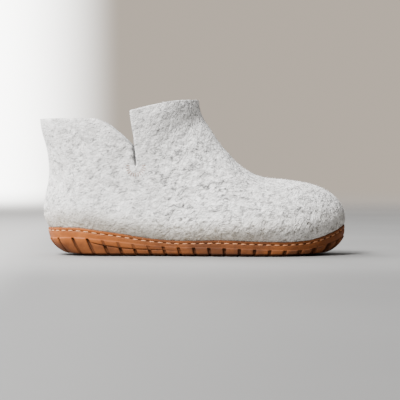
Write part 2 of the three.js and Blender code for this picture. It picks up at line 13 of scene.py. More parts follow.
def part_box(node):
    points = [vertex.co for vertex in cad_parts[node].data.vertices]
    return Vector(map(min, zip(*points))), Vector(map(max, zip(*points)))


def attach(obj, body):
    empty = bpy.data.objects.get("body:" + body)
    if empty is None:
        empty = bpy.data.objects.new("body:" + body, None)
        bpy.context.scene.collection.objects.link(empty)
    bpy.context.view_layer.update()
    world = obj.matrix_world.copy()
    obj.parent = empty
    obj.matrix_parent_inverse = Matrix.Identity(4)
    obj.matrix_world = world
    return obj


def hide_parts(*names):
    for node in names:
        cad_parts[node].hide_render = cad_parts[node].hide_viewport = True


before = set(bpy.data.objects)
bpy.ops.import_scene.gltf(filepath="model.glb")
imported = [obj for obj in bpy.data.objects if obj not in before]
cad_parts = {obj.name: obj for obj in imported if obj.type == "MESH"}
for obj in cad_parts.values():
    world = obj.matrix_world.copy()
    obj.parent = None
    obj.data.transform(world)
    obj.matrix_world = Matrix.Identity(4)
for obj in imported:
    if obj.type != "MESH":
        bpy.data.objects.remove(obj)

LOG = logging.getLogger("slipper")
MM = 0.001
BODY = "root"
Number = Union[float, np.ndarray]
Colour = tuple[float, float, float, float]


class Side(Enum):
    """Side of the foot, with the sign of its Y axis."""

    OUTER = -1
    INNER = 1


class Slot(Enum):
    """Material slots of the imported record."""

    FELT = "felt"
    RUBBER = "rubber"
    INSOLE = "insole_felt"


@dataclass(frozen=True)
class SmoothTable:
    """Short table of named columns that is read smoothly between its rows."""

    places: tuple[float, ...]
    columns: dict[str, tuple[float, ...]]

    def value(self, column: str, place: Number) -> Number:
        """Reads one column.

        Args:
            column: Name of the column.
            place: One place or many, between the first row and the last.

        Returns:
            The value at each place.
        """
        knots = np.asarray(self.places)
        heights = np.asarray(self.columns[column])
        rows = np.arange(len(knots))
        before = np.maximum(rows - 1, 0)
        after = np.minimum(rows + 1, len(knots) - 1)
        slopes = (heights[after] - heights[before]) / (knots[after] - knots[before])
        k = np.clip(np.searchsorted(knots, place) - 1, 0, len(knots) - 2)
        span = knots[k + 1] - knots[k]
        t = np.clip((place - knots[k]) / span, 0, 1)
        return (
            (2 * t**3 - 3 * t**2 + 1) * heights[k]
            + (t**3 - 2 * t**2 + t) * span * slopes[k]
            + (3 * t**2 - 2 * t**3) * heights[k + 1]
            + (t**3 - t**2) * span * slopes[k + 1]
        )


def table_of(names: Sequence[str], *rows: Sequence[float]) -> SmoothTable:
    """Makes a table whose first column is the place.

    Args:
        names: Names of the columns after the first.
        *rows: Place and values of each row.

    Returns:
        The table.
    """
    columns = {name: tuple(row[k + 1] for row in rows) for k, name in enumerate(names)}
    return SmoothTable(tuple(row[0] for row in rows), columns)


# Outline of the rubber rim from above: shares of the sole length and of the ball width
OUTLINE = table_of(
    ("outer", "inner", "middle"),
    (0.0, 0.345, 0.345, 0.0),
    (0.1, 0.36, 0.355, 0.0),
    (0.18, 0.375, 0.365, 0.0),
    (0.27, 0.385, 0.36, 0.0),
    (0.36, 0.4, 0.35, 0.0),
    (0.45, 0.435, 0.355, 0.0),
    (0.54, 0.475, 0.39, 0.0),
    (0.62, 0.505, 0.43, 0.005),
    (0.7, 0.515, 0.47, 0.01),
    (0.77, 0.51, 0.49, 0.02),
    (0.84, 0.49, 0.5, 0.03),
    (0.92, 0.455, 0.495, 0.04),
    (1.0, 0.41, 0.48, 0.05),
)

# Side of the sole: rim as a share of the heel rim, ledge as a share of the rim there, and the
# rib above the lugs as a share of its widest height
SOLE_SIDE = table_of(
    ("rim", "ledge", "rib"),
    (0.0, 1.0, 0.61, 0.0),
    (0.1, 1.015, 0.633, 0.0),
    (0.18, 0.905, 0.632, 0.85),
    (0.25, 0.8, 0.608, 1.0),
    (0.315, 0.685, 0.582, 0.7),
    (0.38, 0.602, 0.575, 0.5),
    (0.45, 0.56, 0.556, 0.4),
    (0.58, 0.585, 0.5, 0.0),
    (0.7, 0.54, 0.44, 0.0),
    (0.78, 0.52, 0.394, 0.0),
    (0.84, 0.543, 0.39, 0.0),
    (0.88, 0.598, 0.43, 0.0),
    (0.92, 0.715, 0.505, 0.0),
    (0.96, 0.866, 0.575, 0.0),
    (1.0, 1.1, 0.607, 0.0),
)

# Sections of the last, from the toe tip round the heel and up past the collar, each from a keel
# point on the sole or the back to a crown point on the instep or the front of the shaft
LAST = table_of(
    ("top_along", "top_up", "low_along", "low_up", "outer", "inner", "middle",
     "crown", "crown_power", "keel", "keel_power"),
    (0, 1.002, 0.4615, 1.002, 0.035, 0.42, 0.485, 0.05, 0.56, 2.1, 0.42, 2.4),
    (1, 0.9145, 0.4657, 0.9145, -0.01, 0.475, 0.51, 0.042, 0.58, 2.1, 0.4, 2.4),
    (2, 0.849, 0.4741, 0.849, -0.042, 0.51, 0.52, 0.03, 0.58, 2.1, 0.4, 2.4),
    (3, 0.7915, 0.4874, 0.7915, -0.042, 0.53, 0.515, 0.023, 0.58, 2.1, 0.4, 2.4),
    (4, 0.7306, 0.4993, 0.7306, -0.042, 0.54, 0.505, 0.02, 0.59, 2.1, 0.39, 2.3),
    (5, 0.68, 0.535, 0.655, -0.042, 0.54, 0.475, 0.02, 0.61, 2.05, 0.37, 2.3),
    (6, 0.6329, 0.6035, 0.56, -0.042, 0.515, 0.43, 0.018, 0.63, 2.0, 0.34, 2.3),
    (7, 0.6, 0.67, 0.45, -0.042, 0.47, 0.395, 0.015, 0.64, 2.0, 0.31, 2.3),
    (8, 0.5765, 0.724, 0.34, -0.035, 0.43, 0.385, 0.01, 0.63, 2.0, 0.29, 2.3),
    (9, 0.5575, 0.78, 0.23, -0.01, 0.405, 0.385, 0.005, 0.61, 2.0, 0.28, 2.3),
    (10, 0.544, 0.822, 0.14, 0.02, 0.39, 0.38, 0, 0.58, 2.0, 0.27, 2.25),
    (11, 0.534, 0.854, 0.078, 0.045, 0.38, 0.375, 0, 0.56, 2.0, 0.26, 2.15),
    (12, 0.527, 0.876, 0.025, 0.1, 0.375, 0.37, 0, 0.54, 2.0, 0.27, 2.05),
    (13, 0.5225, 0.893, -0.0045, 0.19, 0.37, 0.37, 0, 0.52, 2.0, 0.3, 2.0),
    (14, 0.518, 0.91, -0.017, 0.288, 0.37, 0.37, 0, 0.5, 2.0, 0.34, 2.0),
    (15, 0.5145, 0.928, -0.0085, 0.395, 0.372, 0.372, 0, 0.49, 2.05, 0.38, 2.05),
    (16, 0.512, 0.945, 0.0015, 0.49, 0.378, 0.378, 0, 0.48, 2.1, 0.42, 2.1),
    (17, 0.51, 0.96, 0.0015, 0.59, 0.388, 0.388, 0, 0.48, 2.1, 0.45, 2.1),
    (18, 0.509, 0.975, -0.006, 0.7, 0.4, 0.4, 0, 0.48, 2.15, 0.47, 2.15),
    (19, 0.508, 0.99, -0.0225, 0.805, 0.41, 0.41, 0, 0.48, 2.15, 0.48, 2.15),
    (20, 0.508, 1.02, -0.029, 0.9, 0.415, 0.415, 0, 0.48, 2.15, 0.48, 2.15),
    (21, 0.508, 1.1, -0.032, 1.0, 0.418, 0.418, 0, 0.48, 2.15, 0.48, 2.15),
)

# Collar line in side view, as shares of the sole length and of the collar height
REAR_FLAP_EDGE = ((-0.1, 0.88), (0.165, 0.8765), (0.178, 0.874), (0.19, 0.866), (0.22, 0.819),
                  (0.2495, 0.771), (0.2755, 0.73), (0.286, 0.705), (0.2925, 0.69), (0.4, 0.69))
SLIT_LINE = ((0.2995, 0.568), (0.2925, 0.69), (0.2895, 0.757), (0.2825, 0.834), (0.276, 0.929),
             (0.274, 1.0))
FRONT_FLAP_EDGE = ((0.2, 0.927), (0.28, 0.929), (0.299, 0.935), (0.348, 0.96), (0.413, 0.986),
                   (0.45, 0.996), (0.498, 1.0), (0.65, 1.0))

# Cross section of one groove between two lugs: offset and depth as shares of width and depth
GROOVE_SHAPE = ((0.0, 1.0), (0.24, 1.0), (0.37, 0.96), (0.44, 0.72), (0.5, 0.3), (0.58, 0.1),
                (0.7, 0.02), (0.92, 0.0))


# Power of round_in and roll_share that gives a quarter of an ellipse
QUARTER_ROUND = 2


def round_in(share: Number, power: Number) -> Number:
    """Rounding of an end: 0 at the end itself and 1 from a full share inwards."""
    inward = np.clip(share, 0, 1)
    return (1 - (1 - inward) ** power) ** (1 / power)


def roll_share(down: Number, power: float) -> Number:
    """How much of a roll a point has taken at a share of the way down to the floor."""
    return 1 - (1 - np.clip(down, 0, 1) ** power) ** (1 / power)


def mix(a: Number, b: Number, share: Number) -> Number:
    """Value at a share of the way from a to b."""
    return a + (b - a) * share


def ease(value: Number, low: float, high: float) -> Number:
    """Smooth step from 0 at low to 1 at high."""
    t = np.clip((value - low) / (high - low), 0, 1)
    return t * t * (3 - 2 * t)


def close_at_ends(steps: int) -> np.ndarray:
    """Shares from 0 to 1 that lie close together at both ends."""
    return (1 - np.cos(np.pi * np.arange(steps + 1) / steps)) / 2


def halve(low: np.ndarray, high: np.ndarray, is_past: Callable[[np.ndarray], np.ndarray],
          passes: int = 22) -> np.ndarray:
    """Finds by halving where a test turns true.

    Args:
        low: Values where the test is false.
        high: Values where it is true.
        is_past: Test on trial values.
        passes: Number of halvings.

    Returns:
        The values where the test turns.
    """
    for _ in range(passes):
        trial = (low + high) / 2
        past = is_past(trial)
        high = np.where(past, trial, high)
        low = np.where(past, low, trial)
    return high


@dataclass(frozen=True)
class Form:
    """Shape of the slipper, from its length and height: last, rim outline and rubber wall."""

    sole_length: float
    collar_height: float
    ball_width: float = 100 * MM
    heel_rim: float = 25.4 * MM
    toe_tip_height: float = 32.8 * MM
    toe_top_round: float = 45 * MM
    toe_under_round: float = 20 * MM
    toe_plan_round: float = 75 * MM
    heel_plan_round: float = 40 * MM
    heel_round_loss: float = 0.6
    toe_round_loss: float = 1.1
    cup_depth: float = 8 * MM
    heel_roll: float = 28 * MM
    toe_roll: float = 31 * MM
    toe_roll_start: float = 0.775
    side_roll: float = 3 * MM
    heel_plan_power: float = 2.1
    toe_plan_power: float = 2.2
    toe_roll_power: float = 1.7

    @property
    def heel_x(self) -> float:
        """Heel end of the sole."""
        return -self.sole_length / 2

    @property
    def toe_x(self) -> float:
        """Toe end of the sole."""
        return self.sole_length / 2

    def along(self, x: Number) -> Number:
        """Share of the sole length at x."""
        return (x - self.heel_x) / self.sole_length

    def outline(self, column: str, x: Number) -> Number:
        """Half width or middle line of the rim at x."""
        return self.ball_width * OUTLINE.value(column, self.along(x))

    def rim(self, x: Number) -> Number:
        """Height of the rubber's top edge."""
        return self.heel_rim * SOLE_SIDE.value("rim", self.along(x))

    def ledge(self, x: Number) -> Number:
        """Height of the ledge on top of the lugs."""
        return self.rim(x) * SOLE_SIDE.value("ledge", self.along(x))

    def cup_floor(self, x: Number) -> Number:
        """Height of the floor inside the rubber cup."""
        return self.rim(x) - self.cup_depth

    def ends(self, level: Number, out: float) -> tuple[Number, Number]:
        """Heel and toe end of the rubber at a level, from 0 on the floor to 1 at the rim."""
        heel = self.heel_x + self.heel_roll * roll_share(1 - level, QUARTER_ROUND) - out
        toe_down = 1 - level / self.toe_roll_start
        toe = self.toe_x - self.toe_roll * roll_share(toe_down, self.toe_roll_power) + out
        return heel, toe

    def widths(self, x: Number, heel_end: Number, toe_end: Number,
               out: Number) -> tuple[Number, Number]:
        """Half widths of a rounded outline between two ends.

        Args:
            x: Places along the foot.
            heel_end: Heel end of the outline.
            toe_end: Toe end of the outline.
            out: How far the outline is moved out.

        Returns:
            The outer and the inner half width at each place.
        """
        heel_round = self.heel_plan_round - self.heel_round_loss * (heel_end - self.heel_x)
        toe_round = self.toe_plan_round - self.toe_round_loss * (self.toe_x - toe_end)
        rounding = round_in((x - heel_end) / heel_round, self.heel_plan_power)
        rounding = rounding * round_in((toe_end - x) / toe_round, self.toe_plan_power)
        middle = self.outline("middle", x)
        outer = (self.outline("outer", x) + middle + out) * rounding - middle
        inner = (self.outline("inner", x) - middle + out) * rounding + middle
        return outer, inner

    def wall_ring(self, level_at: Callable[[Number], Number], out: float,
                  steps: int = 700, passes: int = 5) -> np.ndarray:
        """Closed ring on the outside of the rubber, from the heel along the outer side.

        Args:
            level_at: Level of the ring at a place along the foot.
            out: How far it stands out from the wall.
            steps: Points on each side.
            passes: Times that the ends are fitted to the level there.

        Returns:
            The points of the ring, one a row.
        """
        share = close_at_ends(steps)
        x = mix(self.heel_x, self.toe_x, share)
        for _ in range(passes):
            level = level_at(x)
            heel_end, toe_end = self.ends(level, out)
            x = mix(heel_end, toe_end, share)
        roll = self.side_roll * roll_share(1 - level, QUARTER_ROUND)
        outer, inner = self.widths(x, heel_end, toe_end, out - roll)
        z = level * self.rim(x)
        near = np.stack([x, -outer, z], axis=1)
        far = np.stack([x, inner, z], axis=1)[1:-1][::-1]
        return np.concatenate([near, far])

    def cup_ring(self, inset: float, x: np.ndarray) -> tuple[np.ndarray, np.ndarray]:
        """Outer and inner half width inside the cup, at an inset from the rim's outline."""
        return self.widths(x, self.heel_x + inset, self.toe_x - inset, -inset)

    def inside_wall(self, x: np.ndarray, y: np.ndarray, level: np.ndarray,
                    out: float) -> np.ndarray:
        """Whether plan points lie inside the rubber at a level."""
        heel_end, toe_end = self.ends(level, out)
        roll = self.side_roll * roll_share(1 - level, QUARTER_ROUND)
        outer, inner = self.widths(x, heel_end, toe_end, out - roll)
        return (x > heel_end) & (x < toe_end) & (y > -outer) & (y < inner)

    def wall_distance(self, points: np.ndarray, inward: np.ndarray, height: np.ndarray,
                      out: float) -> np.ndarray:
        """Inward distance from plan points to the wall at a height.

        Args:
            points: Plan points outside the wall.
            inward: Direction into the shoe at each point.
            height: Height above the floor at each point.
            out: How far the wall stands out.

        Returns:
            The distance at each point.
        """
        def is_inside(trial: np.ndarray) -> np.ndarray:
            x = points[:, 0] + inward[:, 0] * trial
            y = points[:, 1] + inward[:, 1] * trial
            return self.inside_wall(x, y, height / self.rim(x), out)

        margin = 5 * MM
        low = np.full(len(points), -margin)
        high = np.full(len(points), max(self.heel_roll, self.toe_roll) + margin)
        return halve(low, high, is_inside)

    def toe_drop(self, x: Number, height: Number, length: float) -> Number:
        """Height of the last near the toe, which ends at the tip's height."""
        reach = self.sole_length * LAST.columns["top_along"][0] + self.heel_x - x
        return mix(self.toe_tip_height, height, round_in(reach / length, QUARTER_ROUND))

    def section_line(self, place: Number) -> tuple[Number, Number, Number, Number]:
        """Keel point and crown point, in x and z, of the section at a place."""
        low_x = self.heel_x + self.sole_length * LAST.value("low_along", place)
        top_x = self.heel_x + self.sole_length * LAST.value("top_along", place)
        low_up = self.collar_height * LAST.value("low_up", place)
        top_up = self.collar_height * LAST.value("top_up", place)
        low_z = self.toe_drop(low_x, low_up, self.toe_under_round)
        top_z = self.toe_drop(top_x, top_up, self.toe_top_round)
        return low_x, low_z, top_x, top_z

    def last_point(self, place: Number, t: Number, side: Side) -> np.ndarray:
        """Points on the surface of the last.

        Args:
            place: Places in the table of sections.
            t: Shares of the way from keel to crown.
            side: Side of the foot.

        Returns:
            The points, with their coordinates on the last axis.
        """
        low_x, low_z, top_x, top_z = self.section_line(place)
        tip = self.heel_x + self.sole_length * LAST.columns["top_along"][0]
        closing = round_in((tip - low_x) / self.toe_plan_round, self.toe_plan_power)
        middle = self.ball_width * LAST.value("middle", place)
        reach = self.ball_width * LAST.value(side.name.lower(), place) - side.value * middle
        shape = round_in(t / LAST.value("keel", place), LAST.value("keel_power", place))
        crown = round_in((1 - t) / LAST.value("crown", place), LAST.value("crown_power", place))
        y = middle + side.value * reach * closing * shape * crown
        return np.stack([mix(low_x, top_x, t), y, mix(low_z, top_z, t)], axis=-1)


def measure_form() -> tuple[Form, Vector]:
    """Takes the slipper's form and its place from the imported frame.

    Returns:
        The form, and where its own origin lies in the frame.
    """
    low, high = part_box("sole")
    form = Form(sole_length=high.x - low.x, collar_height=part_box("upper")[1].z)
    ledge = form.wall_ring(lambda x: form.ledge(x) / form.rim(x), CupSole.ledge_step)
    middle = (ledge[:, 1].min() + ledge[:, 1].max()) / 2
    return form, Vector(((low.x + high.x) / 2, (low.y + high.y) / 2 - middle, 0))


def grid_sheet(sheet: bmesh.types.BMesh, points: np.ndarray) -> list[bmesh.types.BMVert]:
    """Adds a grid to a mesh and bends it to points.

    Args:
        sheet: Mesh that gets the grid.
        points: Points by row and column.

    Returns:
        The grid's vertices, row by row.
    """
    rows, columns = points.shape[:2]
    made = bmesh.ops.create_grid(sheet, x_segments=columns - 1, y_segments=rows - 1, size=1)
    for vert, point in zip(made["verts"], points.reshape(-1, 3)):
        vert.co = point
    return made["verts"]


def close_doubles(sheet: bmesh.types.BMesh, distance: float = 0.01 * MM) -> None:
    """Joins points that coincide and removes what then has no area."""
    bmesh.ops.remove_doubles(sheet, verts=sheet.verts, dist=distance)
    bmesh.ops.dissolve_degenerate(sheet, edges=sheet.edges, dist=distance)


def make_piece(name: str, sheet: bmesh.types.BMesh, origin: Vector,
               material: bpy.types.Material) -> bpy.types.Object:
    """Turns a mesh into a piece of the slipper.

    Args:
        name: Name of the piece.
        sheet: Its mesh, around the form's own origin.
        origin: Where that origin lies in the frame.
        material: Its finish.

    Returns:
        The piece, riding on the slipper's body.
    """
    bmesh.ops.translate(sheet, vec=origin, verts=sheet.verts)
    for face in sheet.faces:
        face.smooth = True
    mesh = bpy.data.meshes.new(name)
    sheet.to_mesh(mesh)
    sheet.free()
    mesh.materials.append(material)
    piece = bpy.data.objects.new(name, mesh)
    bpy.context.scene.collection.objects.link(piece)
    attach(piece, BODY)
    return piece


class NodeSheet:
    """Nodes of one material or node group."""

    def __init__(self, tree: bpy.types.NodeTree) -> None:
        """Takes the tree that the nodes go into."""
        self.tree = tree

    def node(self, kind: str, inputs: dict[str | int, object],
             **settings: object) -> bpy.types.Node:
        """Adds a node.

        Args:
            kind: Blender's name of the node type.
            inputs: Value or socket for each input, by its name or number.
            **settings: Values of the node's own settings.

        Returns:
            The node.
        """
        made = self.tree.nodes.new(kind)
        for name, value in settings.items():
            setattr(made, name, value)
        for name, value in inputs.items():
            if isinstance(value, bpy.types.NodeSocket):
                self.tree.links.new(value, made.inputs[name])
            else:
                made.inputs[name].default_value = value
        return made

    def noise(self, vector: bpy.types.NodeSocket, scale: float, detail: float = 2,
              roughness: float = 0.5) -> bpy.types.NodeSocket:
        """Noise mask at a scale."""
        inputs = {"Vector": vector, "Scale": scale, "Detail": detail, "Roughness": roughness}
        return self.node("ShaderNodeTexNoise", inputs).outputs["Fac"]

    def span(self, value: bpy.types.NodeSocket, low: float, high: float,
             to_low: float = 0.0, to_high: float = 1.0) -> bpy.types.NodeSocket:
        """Value mapped smoothly from one span to another."""
        inputs = {"Value": value, "From Min": low, "From Max": high,
                  "To Min": to_low, "To Max": to_high}
        return self.node("ShaderNodeMapRange", inputs,
                         interpolation_type="SMOOTHSTEP").outputs["Result"]

    def maths(self, operation: str, a: object, b: object) -> bpy.types.NodeSocket:
        """Sum, product or other result of two values."""
        return self.node("ShaderNodeMath", {0: a, 1: b}, operation=operation).outputs[0]

    def blend(self, share: object, a: object, b: object) -> bpy.types.NodeSocket:
        """Colour at a share of the way from a to b."""
        return self.node("ShaderNodeMix", {"Factor": share, 6: a, 7: b},
                         data_type="RGBA").outputs[2]


def new_material(name: str) -> tuple[bpy.types.Material, NodeSheet]:
    """Makes an empty material and the sheet that its nodes go on."""
    material = bpy.data.materials.new(name)
    material.use_nodes = True
    material.node_tree.nodes.clear()
    return material, NodeSheet(material.node_tree)


@dataclass(frozen=True)
class Strands:
    """Short fibres that lie along one direction, as a mask.

    The angle is in degrees from the floor, in side view. The length is a multiple of the width,
    and the scale is that of the noise across the fibres. A fibre starts where the noise is low
    and is full where it is high.
    """

    angle: float
    length: float
    scale: float
    low: float
    high: float

    def mask(self, sheet: NodeSheet, place: bpy.types.NodeSocket) -> bpy.types.NodeSocket:
        """Adds the nodes of the mask."""
        turned = sheet.node("ShaderNodeMapping", {
            "Vector": place, "Scale": (self.length, 1.0, 1.0),
            "Rotation": (0.0, math.radians(-self.angle), 0.0)}, vector_type="TEXTURE")
        grain = sheet.noise(turned.outputs[0], self.scale, 2.0, 0.6)
        return sheet.span(grain, self.low, self.high)


class WoolGroup:
    """Node group of the wool's fibres, made once.

    The fibres lie level at the heel and stand up at the toe. The dark streaks grow stronger from
    the rear of the shaft to the instep, and weaker by the collar.
    """

    NAME = "wool_fibres"
    OUTPUTS = ("Streaks", "Flecks", "Light Fibres", "Patches", "Height")
    LEVEL = Strands(4, 4.0, 620.0, 0.52, 0.6)
    UPRIGHT = Strands(84, 3.0, 620.0, 0.52, 0.6)
    CROSSED = (Strands(30, 3.5, 540.0, 0.55, 0.63), Strands(-24, 3.5, 540.0, 0.55, 0.63))
    SPOTS = Strands(6, 2.2, 300.0, 0.49, 0.59)
    LUMPS = Strands(55, 1.8, 170.0, 0.2, 0.8)
    FLECKS = Strands(15, 1.7, 360.0, 0.61, 0.68)
    PALE = Strands(25, 5.0, 700.0, 0.56, 0.64)
    TOE = (30 * MM, 100 * MM)
    FRONT = (-60 * MM, 0.0)
    COLLAR = (135 * MM, 95 * MM)
    SWIRL_SCALE = 70.0
    SWIRL = 5 * MM

    @classmethod
    def tree(cls) -> bpy.types.NodeTree:
        """Gives the group, which the first call makes."""
        found = bpy.data.node_groups.get(cls.NAME)
        if found:
            return found
        tree = bpy.data.node_groups.new(cls.NAME, "ShaderNodeTree")
        tree.interface.new_socket("Vector", in_out="INPUT", socket_type="NodeSocketVector")
        for name in cls.OUTPUTS:
            tree.interface.new_socket(name, in_out="OUTPUT", socket_type="NodeSocketFloat")
        cls._fill(NodeSheet(tree))
        return tree

    @classmethod
    def _swirled(cls, sheet: NodeSheet, place: bpy.types.NodeSocket) -> bpy.types.NodeSocket:
        """Coordinates bent by soft noise, so that no fibre runs straight."""
        swirl = sheet.node("ShaderNodeTexNoise", {
            "Vector": place, "Scale": cls.SWIRL_SCALE, "Detail": 1.0})
        centred = sheet.node("ShaderNodeVectorMath", {0: swirl.outputs["Color"], 1: (0.5,) * 3},
                             operation="SUBTRACT")
        bend = sheet.node("ShaderNodeVectorMath", {0: centred.outputs[0], "Scale": cls.SWIRL},
                          operation="SCALE")
        return sheet.node("ShaderNodeVectorMath", {0: place, 1: bend.outputs[0]},
                          operation="ADD").outputs[0]

    @classmethod
    def _fill(cls, sheet: NodeSheet) -> None:
        """Adds the group's nodes."""
        place = sheet.node("NodeGroupInput", {}).outputs["Vector"]
        bent = cls._swirled(sheet, place)
        parts = sheet.node("ShaderNodeSeparateXYZ", {0: place})
        toe = sheet.span(parts.outputs["X"], *cls.TOE)
        front = sheet.span(parts.outputs["X"], *cls.FRONT)

        fibres = sheet.node("ShaderNodeMix", {
            0: toe, 2: cls.LEVEL.mask(sheet, bent), 3: cls.UPRIGHT.mask(sheet, bent)}).outputs[0]
        for crossed in cls.CROSSED:
            fibres = sheet.maths("MAXIMUM", fibres, crossed.mask(sheet, bent))
        streaks = sheet.maths("ADD", sheet.maths("MULTIPLY", fibres, 0.5),
                              sheet.maths("MULTIPLY", cls.SPOTS.mask(sheet, bent), 0.55))
        clumps = sheet.span(sheet.noise(bent, 150.0, 3, 0.6), 0.42, 0.6)
        for strength in (
            sheet.span(clumps, 0.0, 1.0, 0.5, 1.0),
            sheet.span(front, 0.0, 1.0, 0.84, 1.12),
            sheet.span(parts.outputs["Z"], *cls.COLLAR, 0.6, 1.0),
        ):
            streaks = sheet.maths("MULTIPLY", streaks, strength)

        lumps = sheet.maths("MULTIPLY", cls.LUMPS.mask(sheet, bent),
                            sheet.span(front, 0.0, 1.0, 0.55, 1.2))
        height = sheet.maths("ADD", sheet.maths("MULTIPLY", fibres, 0.16), lumps)
        fine = sheet.maths("MULTIPLY", sheet.noise(bent, 900.0, 3, 0.6), 0.2)
        sheet.node("NodeGroupOutput", {
            "Streaks": streaks,
            "Flecks": cls.FLECKS.mask(sheet, bent),
            "Light Fibres": cls.PALE.mask(sheet, bent),
            "Patches": sheet.span(sheet.noise(place, 80.0, 4, 0.6), 0.38, 0.62),
            "Height": sheet.maths("ADD", fine, height),
        })


@dataclass(frozen=True)
class FeltFinish:
    """Matt mottled wool felt, with shade painted in where a value stored on the mesh asks for it.
    """

    name: str
    light: Colour
    middle: Colour
    dark: Colour
    fleck: Colour
    streak_strength: float = 0.95
    fleck_strength: float = 0.6
    pale_strength: float = 0.5
    bump: float = 1.0
    bump_depth: float = 1.35 * MM
    shade: str = ""
    painted_shade_colour: Colour = (0.0, 0.0, 0.0, 1.0)
    painted_shade_strength: float = 0.0

    def material(self) -> bpy.types.Material:
        """Makes the finish's material."""
        material, sheet = new_material(self.name)
        place = sheet.node("ShaderNodeTexCoord", {}).outputs["Object"]
        wool = sheet.node("ShaderNodeGroup", {}, node_tree=WoolGroup.tree())
        sheet.tree.links.new(place, wool.inputs["Vector"])
        base = sheet.blend(wool.outputs["Patches"], self.light, self.middle)
        streaks = sheet.maths("MULTIPLY", wool.outputs["Streaks"], self.streak_strength)
        base = sheet.blend(streaks, base, self.dark)
        pale = sheet.maths("MULTIPLY", wool.outputs["Light Fibres"], self.pale_strength)
        base = sheet.blend(pale, base, self.light)
        flecks = sheet.maths("MULTIPLY", wool.outputs["Flecks"], self.fleck_strength)
        base = sheet.blend(flecks, base, self.fleck)
        # Painted shade, as strong as the value stored on the mesh
        if self.shade:
            shaded = sheet.node("ShaderNodeAttribute", {}, attribute_name=self.shade)
            shaded = sheet.maths("MULTIPLY", shaded.outputs["Fac"], self.painted_shade_strength)
            base = sheet.blend(shaded, base, self.painted_shade_colour)
        bump = sheet.node("ShaderNodeBump", {
            "Height": wool.outputs["Height"], "Strength": self.bump,
            "Distance": self.bump_depth})
        shader = sheet.node("ShaderNodeBsdfPrincipled", {
            "Base Color": base, "Roughness": 0.95, "Specular IOR Level": 0.15,
            "Sheen Weight": 0.25, "Sheen Roughness": 0.6, "Normal": bump.outputs["Normal"]})
        sheet.node("ShaderNodeOutputMaterial", {"Surface": shader.outputs["BSDF"]})
        return material


@dataclass(frozen=True)
class RubberFinish:
    """Natural rubber with a satin skin and a faint grain, darker and rougher where the mesh marks
    painted shade and soiling.
    """

    SHADE_AND_SOIL = "shade_and_soil"

    name: str
    colour: Colour
    deep: Colour
    shade_and_soil: Colour
    roughness: float = 0.55
    roughness_spread: tuple[float, float] = (-0.06, 0.1)
    shade_and_soil_roughness: float = 0.3
    cloud_scale: float = 55.0
    gloss_scale: float = 160.0
    grain_scale: float = 900.0
    grain_shade: float = 0.35
    bump: float = 0.25
    bump_depth: float = 0.25 * MM

    def material(self) -> bpy.types.Material:
        """Makes the finish's material."""
        material, sheet = new_material(self.name)
        place = sheet.node("ShaderNodeTexCoord", {}).outputs["Object"]
        cloud = sheet.span(sheet.noise(place, self.cloud_scale, 3, 0.6), 0.35, 0.68)
        grain = sheet.noise(place, self.grain_scale, 3, 0.6)
        base = sheet.blend(cloud, self.colour, self.deep)
        speck = sheet.span(grain, 0.5, 0.72, 0.0, self.grain_shade)
        base = sheet.blend(speck, base, self.deep)
        # Painted shade and soiling, by the value stored on the mesh, darken the rubber and dull its
        # skin
        shaded_and_soiled = sheet.node("ShaderNodeAttribute", {}, attribute_name=self.SHADE_AND_SOIL).outputs["Fac"]
        shaded_and_soiled = sheet.maths("MULTIPLY", shaded_and_soiled, sheet.span(cloud, 0.0, 1.0, 0.75, 1.0))
        base = sheet.blend(shaded_and_soiled, base, self.shade_and_soil)
        low, high = (self.roughness + spread for spread in self.roughness_spread)
        gloss = sheet.span(sheet.noise(place, self.gloss_scale, 2, 0.5), 0.3, 0.7, low, high)
        dull = sheet.maths("MULTIPLY", shaded_and_soiled, self.shade_and_soil_roughness)
        gloss = sheet.maths("ADD", gloss, dull)
        bump = sheet.node("ShaderNodeBump", {
            "Height": grain, "Strength": self.bump, "Distance": self.bump_depth})
        shader = sheet.node("ShaderNodeBsdfPrincipled", {
            "Base Color": base, "Roughness": gloss, "Specular IOR Level": 0.25,
            "Normal": bump.outputs["Normal"]})
        sheet.node("ShaderNodeOutputMaterial", {"Surface": shader.outputs["BSDF"]})
        return material


@dataclass(frozen=True)
class ThreadFinish:
    """Waxed sewing thread, which may take on painted shade that grows up to the middle and stays
    full from there to the toe.
    """

    name: str
    colour: Colour
    shade: Colour
    thread_painted_shade: float = 0.0
    thread_painted_shade_along: tuple[float, float] = (-0.1, 0.0)
    strand_scale: float = 1900.0
    bump: float = 0.4
    bump_depth: float = 0.12 * MM

    def material(self) -> bpy.types.Material:
        """Makes the finish's material."""
        material, sheet = new_material(self.name)
        place = sheet.node("ShaderNodeTexCoord", {}).outputs["Object"]
        strands = sheet.span(sheet.noise(place, self.strand_scale, 2, 0.5), 0.35, 0.65)
        base = sheet.blend(strands, self.colour, self.shade)
        # Painted shade from the middle to the toe
        along = sheet.node("ShaderNodeSeparateXYZ", {0: place}).outputs["X"]
        dull = sheet.span(along, *self.thread_painted_shade_along, 0.0, self.thread_painted_shade)
        base = sheet.blend(dull, base, self.shade)
        bump = sheet.node("ShaderNodeBump", {
            "Height": strands, "Strength": self.bump, "Distance": self.bump_depth})
        shader = sheet.node("ShaderNodeBsdfPrincipled", {
            "Base Color": base, "Roughness": 0.65, "Normal": bump.outputs["Normal"]})
        sheet.node("ShaderNodeOutputMaterial", {"Surface": shader.outputs["BSDF"]})
        return material


